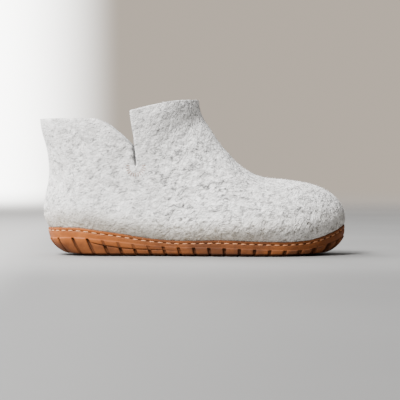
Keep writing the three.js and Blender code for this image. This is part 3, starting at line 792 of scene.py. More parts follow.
@dataclass(frozen=True)
class Crease:
    """Soft trough or ridge across the felt, along a line in side view."""

    start: tuple[float, float]
    end: tuple[float, float]
    depth: float
    width: float

    def depth_at(self, points: np.ndarray, form: Form) -> np.ndarray:
        """Depth of the crease at points of the felt.

        Args:
            points: Points, one a row.
            form: Form of the slipper.

        Returns:
            The depth at each point, below zero on a ridge.
        """
        scale = np.array([form.sole_length, form.collar_height])
        a, b = (np.array(end) * scale + (form.heel_x, 0) for end in (self.start, self.end))
        run = b - a
        place = points[..., [0, 2]] - a
        share = np.clip((place @ run) / (run @ run), 0, 1)
        gap = np.linalg.norm(place - share[..., None] * run, axis=-1)
        fade = np.sin(np.pi * np.clip(0.12 + 0.76 * share, 0, 1))
        return self.depth * np.exp(-((gap / self.width) ** 2)) * fade


@dataclass
class FeltUpper:
    """Moulded felt upper in one piece, with its notch and slit on both sides."""

    form: Form
    origin: Vector
    wall: float = 4.5 * MM
    tuck: float = 5 * MM
    roll: float = 14 * MM
    swell: float = 4.5 * MM
    swell_top: float = 45 * MM
    swell_foot: float = 2 * MM
    slit_width: float = 1.7 * MM
    slit_ramp: float = 0.35
    middle_start: float = 0.68
    rim_gap: float = 0.3 * MM
    tuck_inset: float = 2.9 * MM
    tuck_lip: float = 1.0 * MM
    tuck_sink: float = 0.2 * MM
    relief_free: tuple[float, float] = (0.5 * MM, 6 * MM)
    # Painted shade near the rubber: how high it reaches and how much it weakens at the toe
    painted_shade_along: tuple[float, float] = (0.6, 0.85)
    painted_shade_reach: tuple[float, float] = (24 * MM, 36 * MM)
    painted_shade_toe: float = 0.4
    # Painted shadow between the edges of the slit: its width and its fade at the ends
    painted_slit_shadow: tuple[float, float] = (2 * MM, 6 * MM)
    painted_slit_shadow_fade: tuple[float, float] = (2 * MM, 4 * MM)
    toe_rows: int = 24
    foot_rows: int = 62
    flap_rows: int = 22
    band_columns: int = 7
    rear_columns: int = 18
    front_columns: int = 20
    toe_end: float = 3.0
    creases: tuple[Crease, ...] = ()
    unevenness: tuple[tuple[float, float], ...] = ((0.42 * MM, 42.0), (0.24 * MM, 110.0))

    def __post_init__(self) -> None:
        """Works out the rim's outline and the row at the foot of the slit."""
        rim = self.form.wall_ring(lambda x: np.ones_like(x), 0.0)
        ahead = np.roll(rim, -1, axis=0) - np.roll(rim, 1, axis=0)
        ahead = ahead[:, :2] / np.linalg.norm(ahead[:, :2], axis=1)[:, None]
        self.rim_line = rim[:, :2]
        self.rim_ahead = ahead
        self.rim_out = np.stack([ahead[:, 1], -ahead[:, 0]], axis=1)
        self.slit_place = float(self._slit_foot_place())

    def _height_of(self, line: Sequence[tuple[float, float]], x: Number) -> Number:
        """Height of a collar line at x."""
        along = [point[0] for point in line]
        up = [point[1] for point in line]
        return self.form.collar_height * np.interp(self.form.along(x), along, up)

    def _slit_x(self, z: Number) -> Number:
        """Place along the foot of the slit and the notch's front edge at a height."""
        up = [point[1] for point in SLIT_LINE]
        along = [point[0] for point in SLIT_LINE]
        share = np.interp(z / self.form.collar_height, up, along)
        return self.form.heel_x + self.form.sole_length * share

    def _slit_share(self, place: np.ndarray) -> np.ndarray:
        """Share from keel to crown where each section crosses the slit's line."""
        low_x, low_z, top_x, top_z = self.form.section_line(place)

        def is_past(t: np.ndarray) -> np.ndarray:
            return mix(low_x, top_x, t) > self._slit_x(mix(low_z, top_z, t))

        return halve(np.zeros_like(place), np.ones_like(place), is_past)

    def _slit_foot_place(self) -> float:
        """Section that passes through the foot of the slit."""
        foot_z = self.form.collar_height * SLIT_LINE[0][1]

        def is_past(place: np.ndarray) -> np.ndarray:
            t = self._slit_share(place)
            _, low_z, _, top_z = self.form.section_line(place)
            return mix(low_z, top_z, t) > foot_z

        lowest, highest = 11.5, 15.0
        return halve(np.array([lowest]), np.array([highest]), is_past)[0]

    def _share_at_height(self, place: np.ndarray, above_rim: float) -> np.ndarray:
        """Share where each section reaches a height above the rim, 0 where it starts higher."""
        low_x, low_z, top_x, top_z = self.form.section_line(place)

        def is_past(t: np.ndarray) -> np.ndarray:
            return mix(low_z, top_z, t) - self.form.rim(mix(low_x, top_x, t)) > above_rim

        keel = np.zeros_like(place)
        share = halve(keel, np.full_like(place, 0.9), is_past)
        return np.where(is_past(keel), 0.0, share)

    def _middle_share(self, place: np.ndarray) -> np.ndarray:
        """Share of the column that leads up to the slit."""
        foot = np.minimum(place, self.slit_place)
        at_slit = self._slit_share(np.maximum(place, self.slit_place))
        return mix(self.middle_start, at_slit, ease(foot, 0.0, self.slit_place))

    @staticmethod
    def _column_share(step: float, start: np.ndarray, even_from: float) -> np.ndarray:
        """Share of a stretch at a column: close together by the keel, evenly spread elsewhere."""
        by_keel = 1 - math.cos(step * math.pi / 2)
        return mix(by_keel, step, np.clip(start / even_from, 0, 1))

    def _rear_shares(self, place: np.ndarray, opened: np.ndarray) -> np.ndarray:
        """Shares of the columns from the lower edge to the slit.

        Args:
            place: Sections, by row and column.
            opened: Half width of the slit as a share of each section.

        Returns:
            Share for each row and column.
        """
        middle = self._middle_share(place) - opened
        low = np.minimum(self._share_at_height(place, -self.tuck), middle * 0.5)
        roll = np.minimum(self._share_at_height(place, self.roll), middle * 0.75)
        shares = np.empty_like(place)
        for j in range(place.shape[1]):
            if j <= self.band_columns:
                start, end, even_from = low[:, j], roll[:, j], 0.05
                step = j / self.band_columns
            else:
                start, end, even_from = roll[:, j], middle[:, j], 0.16
                step = (j - self.band_columns) / self.rear_columns
            shares[:, j] = mix(start, end, self._column_share(step, start, even_from))
        return shares

    def _front_shares(self, place: np.ndarray, opened: np.ndarray) -> np.ndarray:
        """Shares of the columns from the slit to the crown."""
        middle = self._middle_share(place) + opened
        v = 1 - np.linspace(0, 1, self.front_columns + 1)
        return 1 - (1 - middle) * (1 - np.cos(v * np.pi / 2))

    def _opened(self, place: np.ndarray) -> np.ndarray:
        """Half width of the slit as a share of each section, 0 at its foot."""
        low_x, _, top_x, _ = self.form.section_line(place)
        opening = ease(place - self.slit_place, 0.0, self.slit_ramp)
        return self.slit_width / 2 * opening / (top_x - low_x + 1e-6)

    def _panel(self, shares: Callable[[np.ndarray, np.ndarray], np.ndarray], columns: int,
               edge: Sequence[tuple[float, float]]) -> tuple[np.ndarray, np.ndarray]:
        """Sections and shares of one panel, up to its collar line.

        Args:
            shares: Shares of its columns for given sections.
            columns: Number of columns.
            edge: Its collar line.

        Returns:
            Section and share for each row and column.
        """
        toe = self.toe_end * (np.arange(self.toe_rows) / self.toe_rows) ** 2
        foot = np.linspace(self.toe_end, self.slit_place, self.foot_rows + 1)
        lower = np.repeat(np.concatenate([toe, foot])[:, None], columns + 1, axis=1)

        def is_past(place: np.ndarray) -> np.ndarray:
            row = place[None, :]
            t = shares(row, self._opened(row))[0]
            low_x, low_z, top_x, top_z = self.form.section_line(place)
            x, z = mix(low_x, top_x, t), mix(low_z, top_z, t)
            return z > self._height_of(edge, x)

        last = LAST.places[-1] - 0.01
        top = halve(np.full(columns + 1, self.slit_place), np.full(columns + 1, last), is_past)
        w = np.linspace(0, 1, self.flap_rows + 1)[1:, None]
        upper = mix(self.slit_place, top[None, :], w)
        place = np.concatenate([lower, upper])
        return place, shares(place, self._opened(place))

    def _nearest_on_rim(self, plan: np.ndarray, parts: int = 12) -> np.ndarray:
        """Number of the rim point nearest to each plan point, found part by part."""
        nearest = np.empty(len(plan), int)
        for part in np.array_split(np.arange(len(plan)), parts):
            gaps = plan[part, None] - self.rim_line[None]
            nearest[part] = np.argmin((gaps**2).sum(axis=2), axis=1)
        return nearest

    def _tucked(self, points: np.ndarray) -> np.ndarray:
        """Rolls the felt's lower edge over the rim and down into the rubber cup."""
        flat = points.reshape(-1, 3).copy()
        above = flat[:, 2] - self.form.rim(flat[:, 0])
        near = np.flatnonzero(above < self.roll)
        nearest = self._nearest_on_rim(flat[near, :2])
        gap = flat[near, :2] - self.rim_line[nearest]
        out = self.rim_out[nearest]
        ahead = self.rim_ahead[nearest]
        distance = (gap * out).sum(axis=1)
        slide = (gap * ahead).sum(axis=1)
        h = above[near]
        bulge = np.sqrt(np.clip(1 - (1 - np.clip(h, 0, None) / self.roll) ** 2, 0, 1))
        rolled = mix(-self.rim_gap, distance, bulge)
        under = mix(-self.rim_gap, -self.tuck_inset, ease(-h, 0.0, self.tuck_lip))
        distance = np.where(h > 0, rolled, under)
        sunk = np.where(h > 0, h, np.minimum(h + self.tuck_lip, 0))
        sunk = sunk + self.tuck_sink * ease(-h, -self.roll, 0.0)
        moved = self.rim_line[nearest] + ahead * slide[:, None] + out * distance[:, None]
        flat[near, :2] = moved
        flat[near, 2] = self.form.rim(moved[:, 0]) + sunk
        return flat.reshape(points.shape)

    def _shaft_axis(self) -> Vector:
        """Point in the middle of the shaft, at the height of its collar."""
        back, height, front, _ = self.form.section_line(LAST.places[-1])
        return Vector(((back + front) / 2, 0, height))

    def _add_relief(self, sheet: bmesh.types.BMesh) -> None:
        """Moves the joined sheet square to itself: swell by the rubber, creases, unevenness."""
        sheet.normal_update()
        points = np.array([vert.co[:] for vert in sheet.verts])
        normals = np.array([vert.normal[:] for vert in sheet.verts])
        above = points[:, 2] - self.form.rim(points[:, 0])
        free = ease(above, *self.relief_free)
        rising = ease(above, -self.swell_foot, self.roll)
        fading = 1 - ease(above, self.roll, self.swell_top)
        swell = self.swell * rising * fading * normals[:, 1] ** 2
        depth = sum(crease.depth_at(points, self.form) for crease in self.creases)
        lumps = np.array([
            sum(size * noise.noise(Vector(point) * scale) for size, scale in self.unevenness)
            for point in points
        ])
        moved = points + normals * ((lumps - depth) * free + swell)[:, None]
        for vert, point in zip(sheet.verts, moved):
            vert.co = point

    def _add_painted_shade(self, sheet: bmesh.types.BMesh) -> None:
        """Marks where shade is painted on the felt: by the rubber and between the edges of the
        slit.
        """
        painted_shade_by_rubber = sheet.verts.layers.float.new(FELT.shade)
        painted_shadow_in_slit = sheet.verts.layers.float.new(INNER_FELT_PAINTED_SHADE.shade)
        foot = self.form.collar_height * SLIT_LINE[0][1]
        top = self.form.collar_height * SLIT_LINE[1][1]
        fade_foot, fade_top = self.painted_slit_shadow_fade
        for vert in sheet.verts:
            x, _, z = vert.co
            # Painted shade up from the rubber, reaching higher and weaker towards the toe
            toe = ease(self.form.along(x), *self.painted_shade_along)
            reach = mix(*self.painted_shade_reach, toe)
            strength = mix(1.0, self.painted_shade_toe, toe)
            vert[painted_shade_by_rubber] = strength * (1 - ease(z - self.form.rim(x), 0.0, reach))
            # Painted shadow between the edges of the slit
            gap = abs(x - self._slit_x(z))
            inside = ease(z, foot - fade_foot, foot) * (1 - ease(z, top, top + fade_top))
            vert[painted_shadow_in_slit] = inside * (1 - ease(gap, *self.painted_slit_shadow))

    def build(self, material: bpy.types.Material,
              shaded_lining: bpy.types.Material) -> bpy.types.Object:
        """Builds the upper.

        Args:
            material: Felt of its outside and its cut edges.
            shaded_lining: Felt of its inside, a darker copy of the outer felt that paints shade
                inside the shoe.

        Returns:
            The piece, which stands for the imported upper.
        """
        sheet = bmesh.new()
        for side in Side:
            rear = self._panel(self._rear_shares, self.band_columns + self.rear_columns,
                               REAR_FLAP_EDGE)
            front = self._panel(self._front_shares, self.front_columns, FRONT_FLAP_EDGE)
            for place, share in (rear, front):
                grid_sheet(sheet, self._tucked(self.form.last_point(place, share, side)))
        close_doubles(sheet, 0.02 * MM)
        bmesh.ops.recalc_face_normals(sheet, faces=sheet.faces)
        highest = max(sheet.faces, key=lambda face: face.calc_center_median().z)
        if highest.normal.dot(self._shaft_axis() - highest.calc_center_median()) > 0:
            bmesh.ops.reverse_faces(sheet, faces=sheet.faces)
        self._add_relief(sheet)
        self._add_painted_shade(sheet)
        upper = make_piece("felt_upper", sheet, self.origin, material)
        thick = upper.modifiers.new("wall", "SOLIDIFY")
        thick.thickness = self.wall
        thick.offset = -1
        thick.material_offset = 1
        thick.material_offset_rim = 1
        thick.edge_crease_outer = 0.7
        thick.edge_crease_inner = 0.5
        upper.data.materials.append(shaded_lining)
        soft = upper.modifiers.new("soft_edges", "SUBSURF")
        soft.levels = soft.render_levels = 1
        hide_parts("upper")
        return upper


@dataclass
class WoolFuzz:
    """Loose fibres that stand off the felt."""

    upper: bpy.types.Object
    count: int = 15000
    length: tuple[float, float] = (0.9 * MM, 2.6 * MM)
    radius: float = 0.035 * MM
    thinning: float = 0.8
    sunk: float = 0.1 * MM
    rise: tuple[float, float] = (0.15, 0.95)
    droop: float = 0.7
    middle_share: float = 0.55
    inside_share: float = 0.25
    lowest: float = 12 * MM
    seed: int = 7

    def _triangles(self) -> tuple[np.ndarray, np.ndarray]:
        """Corners of the finished felt's triangles, and how likely each one has a fibre."""
        graph = bpy.context.evaluated_depsgraph_get()
        finished = self.upper.evaluated_get(graph)
        mesh = finished.to_mesh()
        mesh.calc_loop_triangles()
        points = np.empty(len(mesh.vertices) * 3)
        mesh.vertices.foreach_get("co", points)
        triangles = np.array([triangle.vertices[:] for triangle in mesh.loop_triangles])
        owners = np.array([triangle.polygon_index for triangle in mesh.loop_triangles])
        finished.to_mesh_clear()
        corners = points.reshape(-1, 3)[triangles]
        # The subdivision splits each face of the sheet into four, the outside first
        outside = owners < len(self.upper.data.polygons) * 4
        weight = self._areas(corners) * np.where(outside, 1.0, self.inside_share)
        weight = weight * (corners[:, 0, 2] >= self.lowest)
        return corners, weight / weight.sum()

    @staticmethod
    def _areas(corners: np.ndarray) -> np.ndarray:
        """Area of each triangle."""
        across = np.cross(corners[:, 1] - corners[:, 0], corners[:, 2] - corners[:, 0])
        return np.linalg.norm(across, axis=1) / 2

    def build(self, material: bpy.types.Material) -> bpy.types.Object:
        """Grows the fibres on the finished felt.

        Args:
            material: Their finish.

        Returns:
            The piece with all fibres.
        """
        corners, weight = self._triangles()
        draw = np.random.default_rng(self.seed)
        chosen = corners[draw.choice(len(corners), self.count, p=weight)]
        a, b, c = (chosen[:, k] for k in range(3))
        u, v = draw.random((2, self.count, 1))
        fold = u + v > 1
        u, v = np.where(fold, 1 - u, u), np.where(fold, 1 - v, v)
        root = a + u * (b - a) + v * (c - a)
        up = np.cross(b - a, c - a) / (2 * self._areas(chosen)[:, None])
        lean = draw.normal(size=(self.count, 3))
        lean -= (lean * up).sum(axis=1, keepdims=True) * up
        lean /= np.linalg.norm(lean, axis=1, keepdims=True)
        rise = draw.uniform(*self.rise, (self.count, 1))
        length = draw.uniform(*self.length, (self.count, 1))
        way = lean * np.sqrt(1 - rise**2) + up * rise
        turn = np.cross(up, lean) * draw.uniform(-0.5, 0.5, (self.count, 1))
        middle = root + way * length * self.middle_share
        bent = way + turn - up * rise * self.droop
        tip = middle + bent * length * (1 - self.middle_share)
        return self._join(material, root - up * self.sunk, middle, tip, way, up)

    def _join(self, material: bpy.types.Material, root: np.ndarray, middle: np.ndarray,
              tip: np.ndarray, way: np.ndarray, up: np.ndarray) -> bpy.types.Object:
        """Makes one mesh of all fibres, each a bent three-sided rod with a point.

        Args:
            material: Their finish.
            root: Lower end of each fibre.
            middle: Point at which each bends.
            tip: Upper end of each.
            way: Direction of each from its root.
            up: Direction off the felt at each.

        Returns:
            The piece.
        """
        side = np.cross(way, up)
        side /= np.maximum(np.linalg.norm(side, axis=1, keepdims=True), 1e-9)
        third = np.cross(way, side)
        points = []
        for centre, width in ((root, 1.0), (middle, self.thinning)):
            for angle in (0, 2 * np.pi / 3, 4 * np.pi / 3):
                spoke = side * np.cos(angle) + third * np.sin(angle)
                points.append(centre + spoke * self.radius * width)
        points.append(tip)
        rod = np.array([(0, 2, 1), (0, 1, 4), (0, 4, 3), (1, 2, 5), (1, 5, 4), (2, 0, 3),
                        (2, 3, 5), (3, 4, 6), (4, 5, 6), (5, 3, 6)])
        faces = rod[None] + len(points) * np.arange(self.count)[:, None, None]
        mesh = bpy.data.meshes.new("wool_fuzz")
        joined = np.stack(points, axis=1).reshape(-1, 3)
        mesh.from_pydata(joined.tolist(), [], faces.reshape(-1, 3).tolist())
        mesh.materials.append(material)
        piece = bpy.data.objects.new("wool_fuzz", mesh)
        bpy.context.scene.collection.objects.link(piece)
        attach(piece, BODY)
        return piece


@dataclass
class CupSole:
    """Rubber cup sole: rim, stitch channel, band, ledge, rib, slanted lugs and tread bars.

    It is one sheet of rows, from the cup floor over the rim, down the outside and under the foot,
    and of columns that follow the grooves between the lugs.
    """

    # Inner round of the rim in mm: way out from the cup's wall and drop below the top
    CUP_ROUND = ((0.0, 4.0), (0.0, 0.5), (0.15, 0.15), (0.5, 0.0))
    # Outer round of the rim in mm: inset from the outside and drop below the top
    RIM_ROUND = ((0.55, 0.0), (0.2, 0.12), (0.04, 0.35), (0.0, 0.7), (0.0, 1.3))
    # Rows across the stitch channel, as shares of its half width
    CHANNEL = (-1.25, -0.95, -0.75, -0.4, 0.0, 0.4, 0.75, 0.95, 1.25)
    # Start of the band under the channel, in half widths of the channel
    BAND_START = 1.6
    # Fillet over the lugs: rise over the ledge in mm, and share of the ledge's step
    FILLET = ((0.9, 0.0), (0.6, 0.12), (0.42, 0.35), (0.25, 0.62), (0.05, 0.84), (-0.2, 0.97),
              (-0.45, 1.0))
    # Recess under the rib: drop in mm, share of its depth, and share of the way from the
    # shallow cuts of the rib to the deep ones of the lugs
    RECESS = ((0.12, 0.35, 0.0), (0.35, 0.9, 0.0), (0.6, 1.0, 0.4), (0.85, 0.85, 1.0),
              (1.05, 0.3, 1.0), (1.3, 0.04, 1.0))
    # Rows under the lugs: share of their length, and share of the groove's depth
    UNDER_LUGS = ((0.35, 1.0), (0.7, 1.0), (0.94, 1.0), (1.0, 0.75), (1.06, 0.0))
    # Step up inside the ring of lugs: inset from its end in mm, and share of the tread's depth
    UNDER_STEP = ((-0.6, 0.0), (-0.25, 0.12), (0.0, 0.5), (0.15, 0.88), (0.5, 1.0))

    form: Form
    origin: Vector
    wall: float = 2.4 * MM
    stitch_drop: float = 2.8 * MM
    stitch_half: float = 0.8 * MM
    stitch_depth: float = 0.6 * MM
    ledge_step: float = 0.9 * MM
    rib_height: float = 4 * MM
    rib_groove: float = 0.9 * MM
    rib_fade: tuple[float, float] = (1.2 * MM, 2.8 * MM)
    rib_cut: float = 0.8
    rib_slope: float = 0.1 * MM
    recess_height: float = 1.6 * MM
    lug_pitch: float = 13.84 * MM
    lug_first: float = 10.7 * MM
    groove_width: float = 2.8 * MM
    groove_depth: float = 2.8 * MM
    toe_along: tuple[float, float] = (0.7, 0.97)
    toe_widening: float = 1.1
    toe_deepening: float = 0.6
    lug_underfoot: float = 11 * MM
    lug_shortest: float = 0.45
    lug_slant: float = 0.48
    lug_upright_at: float = 0.66
    lug_back_slant: float = 0.35
    tread_depth: float = 2.2 * MM
    tread_bar: float = 7 * MM
    tread_pitch: float = 12 * MM
    tread_margin: float = 3 * MM
    bar_round: float = 0.6 * MM
    lug_columns: int = 4
    face_rows: int = 10
    # Painted shade and soiling: in the cuts, low on the lugs, on the band from the arch on with
    # less at the toe, and on the ledge
    cut_shade_and_soil: float = 0.85
    cut_shade_depth: float = 1.1 * MM
    low_shade_and_soil: float = 0.78
    low_shade_span: float = 0.5
    band_painted_shade: float = 0.85
    band_shade_toe_loss: float = 0.26
    ledge_painted_shade: float = 0.55
    band_shade_along: tuple[float, float] = (0.12, 0.4)
    band_shade_toe_along: tuple[float, float] = (0.6, 0.9)
    ledge_shade_along: tuple[float, float] = (0.2, 0.45)
    foot_round: float = 0.8 * MM
    foot_lift: float = 2.2 * MM
    foot_taper: float = 8 * MM

    def __post_init__(self) -> None:
        """Works out the ledge line and the columns that follow the grooves."""
        form = self.form
        ledge = form.wall_ring(lambda x: form.ledge(x) / form.rim(x), self.ledge_step)
        closed = np.concatenate([ledge, ledge[:1]])
        steps = np.linalg.norm(np.diff(closed, axis=0), axis=1)
        self.line_run = np.concatenate([[0], np.cumsum(steps)])
        self.line = closed
        self.total = float(self.line_run[-1])
        self._lay_columns()

    def _on_line(self, run: np.ndarray) -> np.ndarray:
        """Points on the ledge line at distances from the heel."""
        run = run % self.total
        return np.stack([np.interp(run, self.line_run, self.line[:, k]) for k in range(3)], axis=1)

    def _groove_runs(self) -> np.ndarray:
        """Distances round the ledge of all the grooves, in order."""
        length = self.form.sole_length
        steps = int((length - 2 * self.lug_first) / self.lug_pitch)
        places = self.form.heel_x + self.lug_first + self.lug_pitch * np.arange(steps + 1)
        turn = int(np.argmax(self.line[:, 0]))
        outer = np.interp(places, self.line[: turn + 1, 0], self.line_run[: turn + 1])
        back = self.line[turn:, 0][::-1]
        inner = np.interp(places, back, self.line_run[turn:][::-1])
        toe_gaps = round((inner[-1] - outer[-1]) / self.lug_pitch)
        toe = mix(outer[-1], inner[-1], np.arange(1, toe_gaps) / toe_gaps)
        heel_span = self.total - inner[0] + outer[0]
        heel_gaps = round(heel_span / self.lug_pitch)
        heel = inner[0] + heel_span * np.arange(1, heel_gaps) / heel_gaps
        return np.concatenate([outer, toe, inner[::-1], heel])

    def _lay_columns(self) -> None:
        """Lays out the columns: close together in each groove, further apart on each lug."""
        grooves = self._groove_runs()
        ahead = np.append(grooves[1:], grooves[0] + self.total)
        at_toe = ease(self.form.along(self._on_line(grooves)[:, 0]), *self.toe_along)
        widths = self.groove_width * (1 + self.toe_widening * at_toe)
        offsets = widths[:, None] * np.array([share for share, _ in GROOVE_SHAPE])
        shape = np.array([depth for _, depth in GROOVE_SHAPE])
        depths = (1 + self.toe_deepening * at_toe)[:, None] * shape
        following = np.append(offsets[1:, -1], offsets[0, -1])
        runs, cuts = [], []
        for k, here in enumerate(grooves):
            lug = np.linspace(here + offsets[k, -1], ahead[k] - following[k], self.lug_columns + 2)
            runs += [*(here - offsets[k, :0:-1]), *(here + offsets[k]), *lug[1:-1]]
            cuts += [*depths[k, :0:-1], *depths[k], *np.zeros(self.lug_columns)]
        run = np.array(runs)
        self.cut = np.array(cuts)
        self.top = self._on_line(run)
        span = 1.5 * MM
        tangent = self._on_line(run + span) - self._on_line(run - span)
        tangent[:, 2] = 0
        self.tangent = tangent / np.linalg.norm(tangent, axis=1)[:, None]
        self.inward = np.stack([-self.tangent[:, 1], self.tangent[:, 0]], axis=1)
        x = self.top[:, 0]
        upright = self.form.along(x) / self.lug_upright_at
        slant = np.maximum(1 - upright**2, -self.lug_back_slant)
        self.lean = self.lug_slant * slant * self.tangent[:, 0]
        self.rib = self.rib_height * np.maximum(SOLE_SIDE.value("rib", self.form.along(x)), 0)
        self.ribbed = ease(self.rib, *self.rib_fade)
        self.ledge = self.form.ledge(x)
        self.rim = self.form.rim(x)

    def _wall(self, height: np.ndarray, out: np.ndarray | float, cut: np.ndarray | float,
              leaning: bool, ledge_shade: float = 0.0) -> np.ndarray:
        """One row of points on the wall.

        Args:
            height: Height of the row at each column.
            out: How far it stands out from the band above the lugs.
            cut: How deep it is cut in.
            leaning: Whether the columns follow the grooves' slant.
            ledge_shade: Painted shade that lies on the row besides, from the arch on.

        Returns:
            The points, one a column, with how much painted shade and soiling lies on each.
        """
        point = self.top[:, :2].copy()
        if leaning:
            drop = self.ledge - height
            point += self.tangent[:, :2] * (self.lean * drop)[:, None]
        distance = self.form.wall_distance(point, self.inward, height, 0.0)
        plan = point + self.inward * (distance - out + cut)[:, None]
        # Painted shade and soiling: in the cuts, low on the lugs, on the band from the arch on and
        # on the ledge
        low = ease(1 - height / self.ledge, 0.0, self.low_shade_span)
        share = self.form.along(plan[:, 0])
        along = ease(share, *self.band_shade_along)
        along = along - self.band_shade_toe_loss * ease(share, *self.band_shade_toe_along)
        shade_and_soil = self.cut_shade_and_soil * np.clip(cut / self.cut_shade_depth, 0, 1)
        shade_and_soil = shade_and_soil + np.maximum(self.low_shade_and_soil * low, self.band_painted_shade * along)
        shade_and_soil = shade_and_soil + ledge_shade * ease(share, *self.ledge_shade_along)
        return np.column_stack([plan, height, np.clip(shade_and_soil, 0, 1)])

    def _cuts(self) -> tuple[np.ndarray, np.ndarray]:
        """Depth of the grooves in the rib, and in the lugs below it."""
        deep = self.groove_depth * self.cut
        shallow = self.rib_groove * self.rib_cut * self.cut * self.ribbed
        return shallow + deep * (1 - self.ribbed), deep

    def _upper_rows(self) -> list[np.ndarray]:
        """Rows from the cup floor over the rim and down the band to the ledge."""
        across = [(self.wall, self.form.cup_depth)]
        across += [(self.wall - round_in * MM, drop * MM) for round_in, drop in self.CUP_ROUND]
        across += [(inset * MM, drop * MM) for inset, drop in self.RIM_ROUND]
        rows = [self._wall(self.rim - drop, 0.0, inset, False) for inset, drop in across]
        for share in self.CHANNEL:
            depth = self.stitch_depth * max(1 - share**4, 0)
            drop = self.stitch_drop + share * self.stitch_half
            rows.append(self._wall(self.rim - drop, 0.0, depth, False))
        band_top = self.rim - self.stitch_drop - self.BAND_START * self.stitch_half
        band_foot = self.ledge + self.FILLET[0][0] * MM
        for share in (0.25, 0.5, 0.75):
            rows.append(self._wall(mix(band_top, band_foot, share), 0.0, 0.0, False))
        cut, _ = self._cuts()
        for rise, step in self.FILLET:
            # Painted shade along the ledge, where the fillet steps out over the lugs
            ledge_shade = self.ledge_painted_shade if step > 0.2 else 0.0
            # The cut sets in 0.5 mm over the ledge and is full 0.3 mm under it
            share = min(max((0.5 - rise) / 0.8, 0), 1)
            rows.append(self._wall(self.ledge + rise * MM, self.ledge_step * step, cut * share,
                                   True, ledge_shade))
        return rows

    def _lug_rows(self) -> list[np.ndarray]:
        """Rows of the rib, the lug faces and their rounded feet."""
        rows = []
        rib_top = self.ledge + self.FILLET[-1][0] * MM
        rib_foot = rib_top - self.rib
        upper_cut, deep = self._cuts()
        for share in (0.35, 0.7, 0.92):
            height = mix(rib_top, rib_foot, share) - share * self.rib_slope
            rows.append(self._wall(height, self.ledge_step, upper_cut, True))
        for drop, part, way in self.RECESS:
            cut = np.maximum(self.rib_groove * self.ribbed * part, mix(upper_cut, deep, way))
            rows.append(self._wall(rib_foot - drop * MM, self.ledge_step, cut, True))
        face_top = rib_foot - self.recess_height
        face_foot = self.foot_lift + self.foot_round
        for k in range(self.face_rows + 1):
            share = math.sin(math.pi / 2 * k / self.face_rows)
            rows.append(self._face_row(mix(face_top, face_foot, share), 0.0))
        for angle in (30, 60, 90):
            turn = math.radians(angle)
            height = np.full_like(self.rim, face_foot - self.foot_round * math.sin(turn))
            rows.append(self._face_row(height, self.foot_round * (1 - math.cos(turn))))
        return rows

    def _face_row(self, height: np.ndarray, inset: float) -> np.ndarray:
        """Row of the lug faces, with the grooves' floors kept at the tread's depth."""
        floor = self.tread_depth * self.cut
        cut = self.groove_depth * self.cut + inset
        return self._wall(np.maximum(height, floor), self.ledge_step, cut, True)

    def _under_rows(self, foot: np.ndarray) -> list[np.ndarray]:
        """Rows under the foot: lugs, the margin that closes the grooves, and the hollow.

        Args:
            foot: Row of points where the lugs meet the floor.

        Returns:
            The rows, from the lugs' feet inwards.
        """
        places = self._ring_places(self._floor_ring(0.0), foot)
        length = self.lug_underfoot * mix(self.lug_shortest, 1, self.tangent[:, 0] ** 2)
        rows = []
        for share, cut in self.UNDER_LUGS:
            taper = self.foot_lift * (1 - np.clip(length * share / self.foot_taper, 0, 1)) ** 2
            height = np.maximum(self.tread_depth * self.cut * cut, taper)
            rows.append(self._under_row(places, length * share, height))
        end = self.lug_underfoot + self.tread_margin
        for inset, rise in self.UNDER_STEP:
            rows.append(self._under_row(places, np.full_like(length, end + inset * MM),
                                        np.full_like(length, self.tread_depth * rise)))
        return rows

    def _under_row(self, places: np.ndarray, inset: np.ndarray,
                   height: np.ndarray) -> np.ndarray:
        """Row under the foot, fully darkened as painted shade and soiling, at an inset from the
        lugs' feet and a height.
        """
        return np.column_stack([self._under_plan(places, inset), height, np.ones(len(places))])

    def _floor_ring(self, inset: float) -> np.ndarray:
        """Plan of the ring on the floor at an inset from the lugs' feet."""
        ring = self.form.wall_ring(lambda x: np.zeros_like(x), self.ledge_step - inset)
        return ring[:, :2]

    @staticmethod
    def _ring_places(ring: np.ndarray, foot: np.ndarray) -> np.ndarray:
        """Places on a ring, counted in its points, that lie nearest to plan points."""
        gaps = ((foot[:, None, :2] - ring[None]) ** 2).sum(axis=2)
        nearest = np.argmin(gaps, axis=1)
        ahead = np.roll(ring, -1, axis=0)[nearest] - ring[nearest]
        slide = ((foot[:, :2] - ring[nearest]) * ahead).sum(axis=1)
        return nearest + np.clip(slide / np.maximum((ahead**2).sum(axis=1), 1e-12), -0.5, 0.5)

    def _under_plan(self, places: np.ndarray, inset: np.ndarray) -> np.ndarray:
        """Plan points under the foot at an inset that may change from column to column."""
        levels = np.linspace(0.0, self.lug_underfoot + self.tread_margin + MM, 9)
        rings = np.stack([self._floor_ring(float(level)) for level in levels])
        count = rings.shape[1]
        closed = np.concatenate([rings, rings[:, :1]], axis=1)
        at = places % count
        low = np.floor(at).astype(int)
        part = (at - low)[None, :, None]
        lines = mix(closed[:, low], closed[:, low + 1], part)
        level = np.clip(inset / levels[1], 0, len(levels) - 1.001)
        step = np.floor(level).astype(int)
        columns = np.arange(len(places))
        share = (level - step)[:, None]
        return mix(lines[step, columns], lines[step + 1, columns], share)

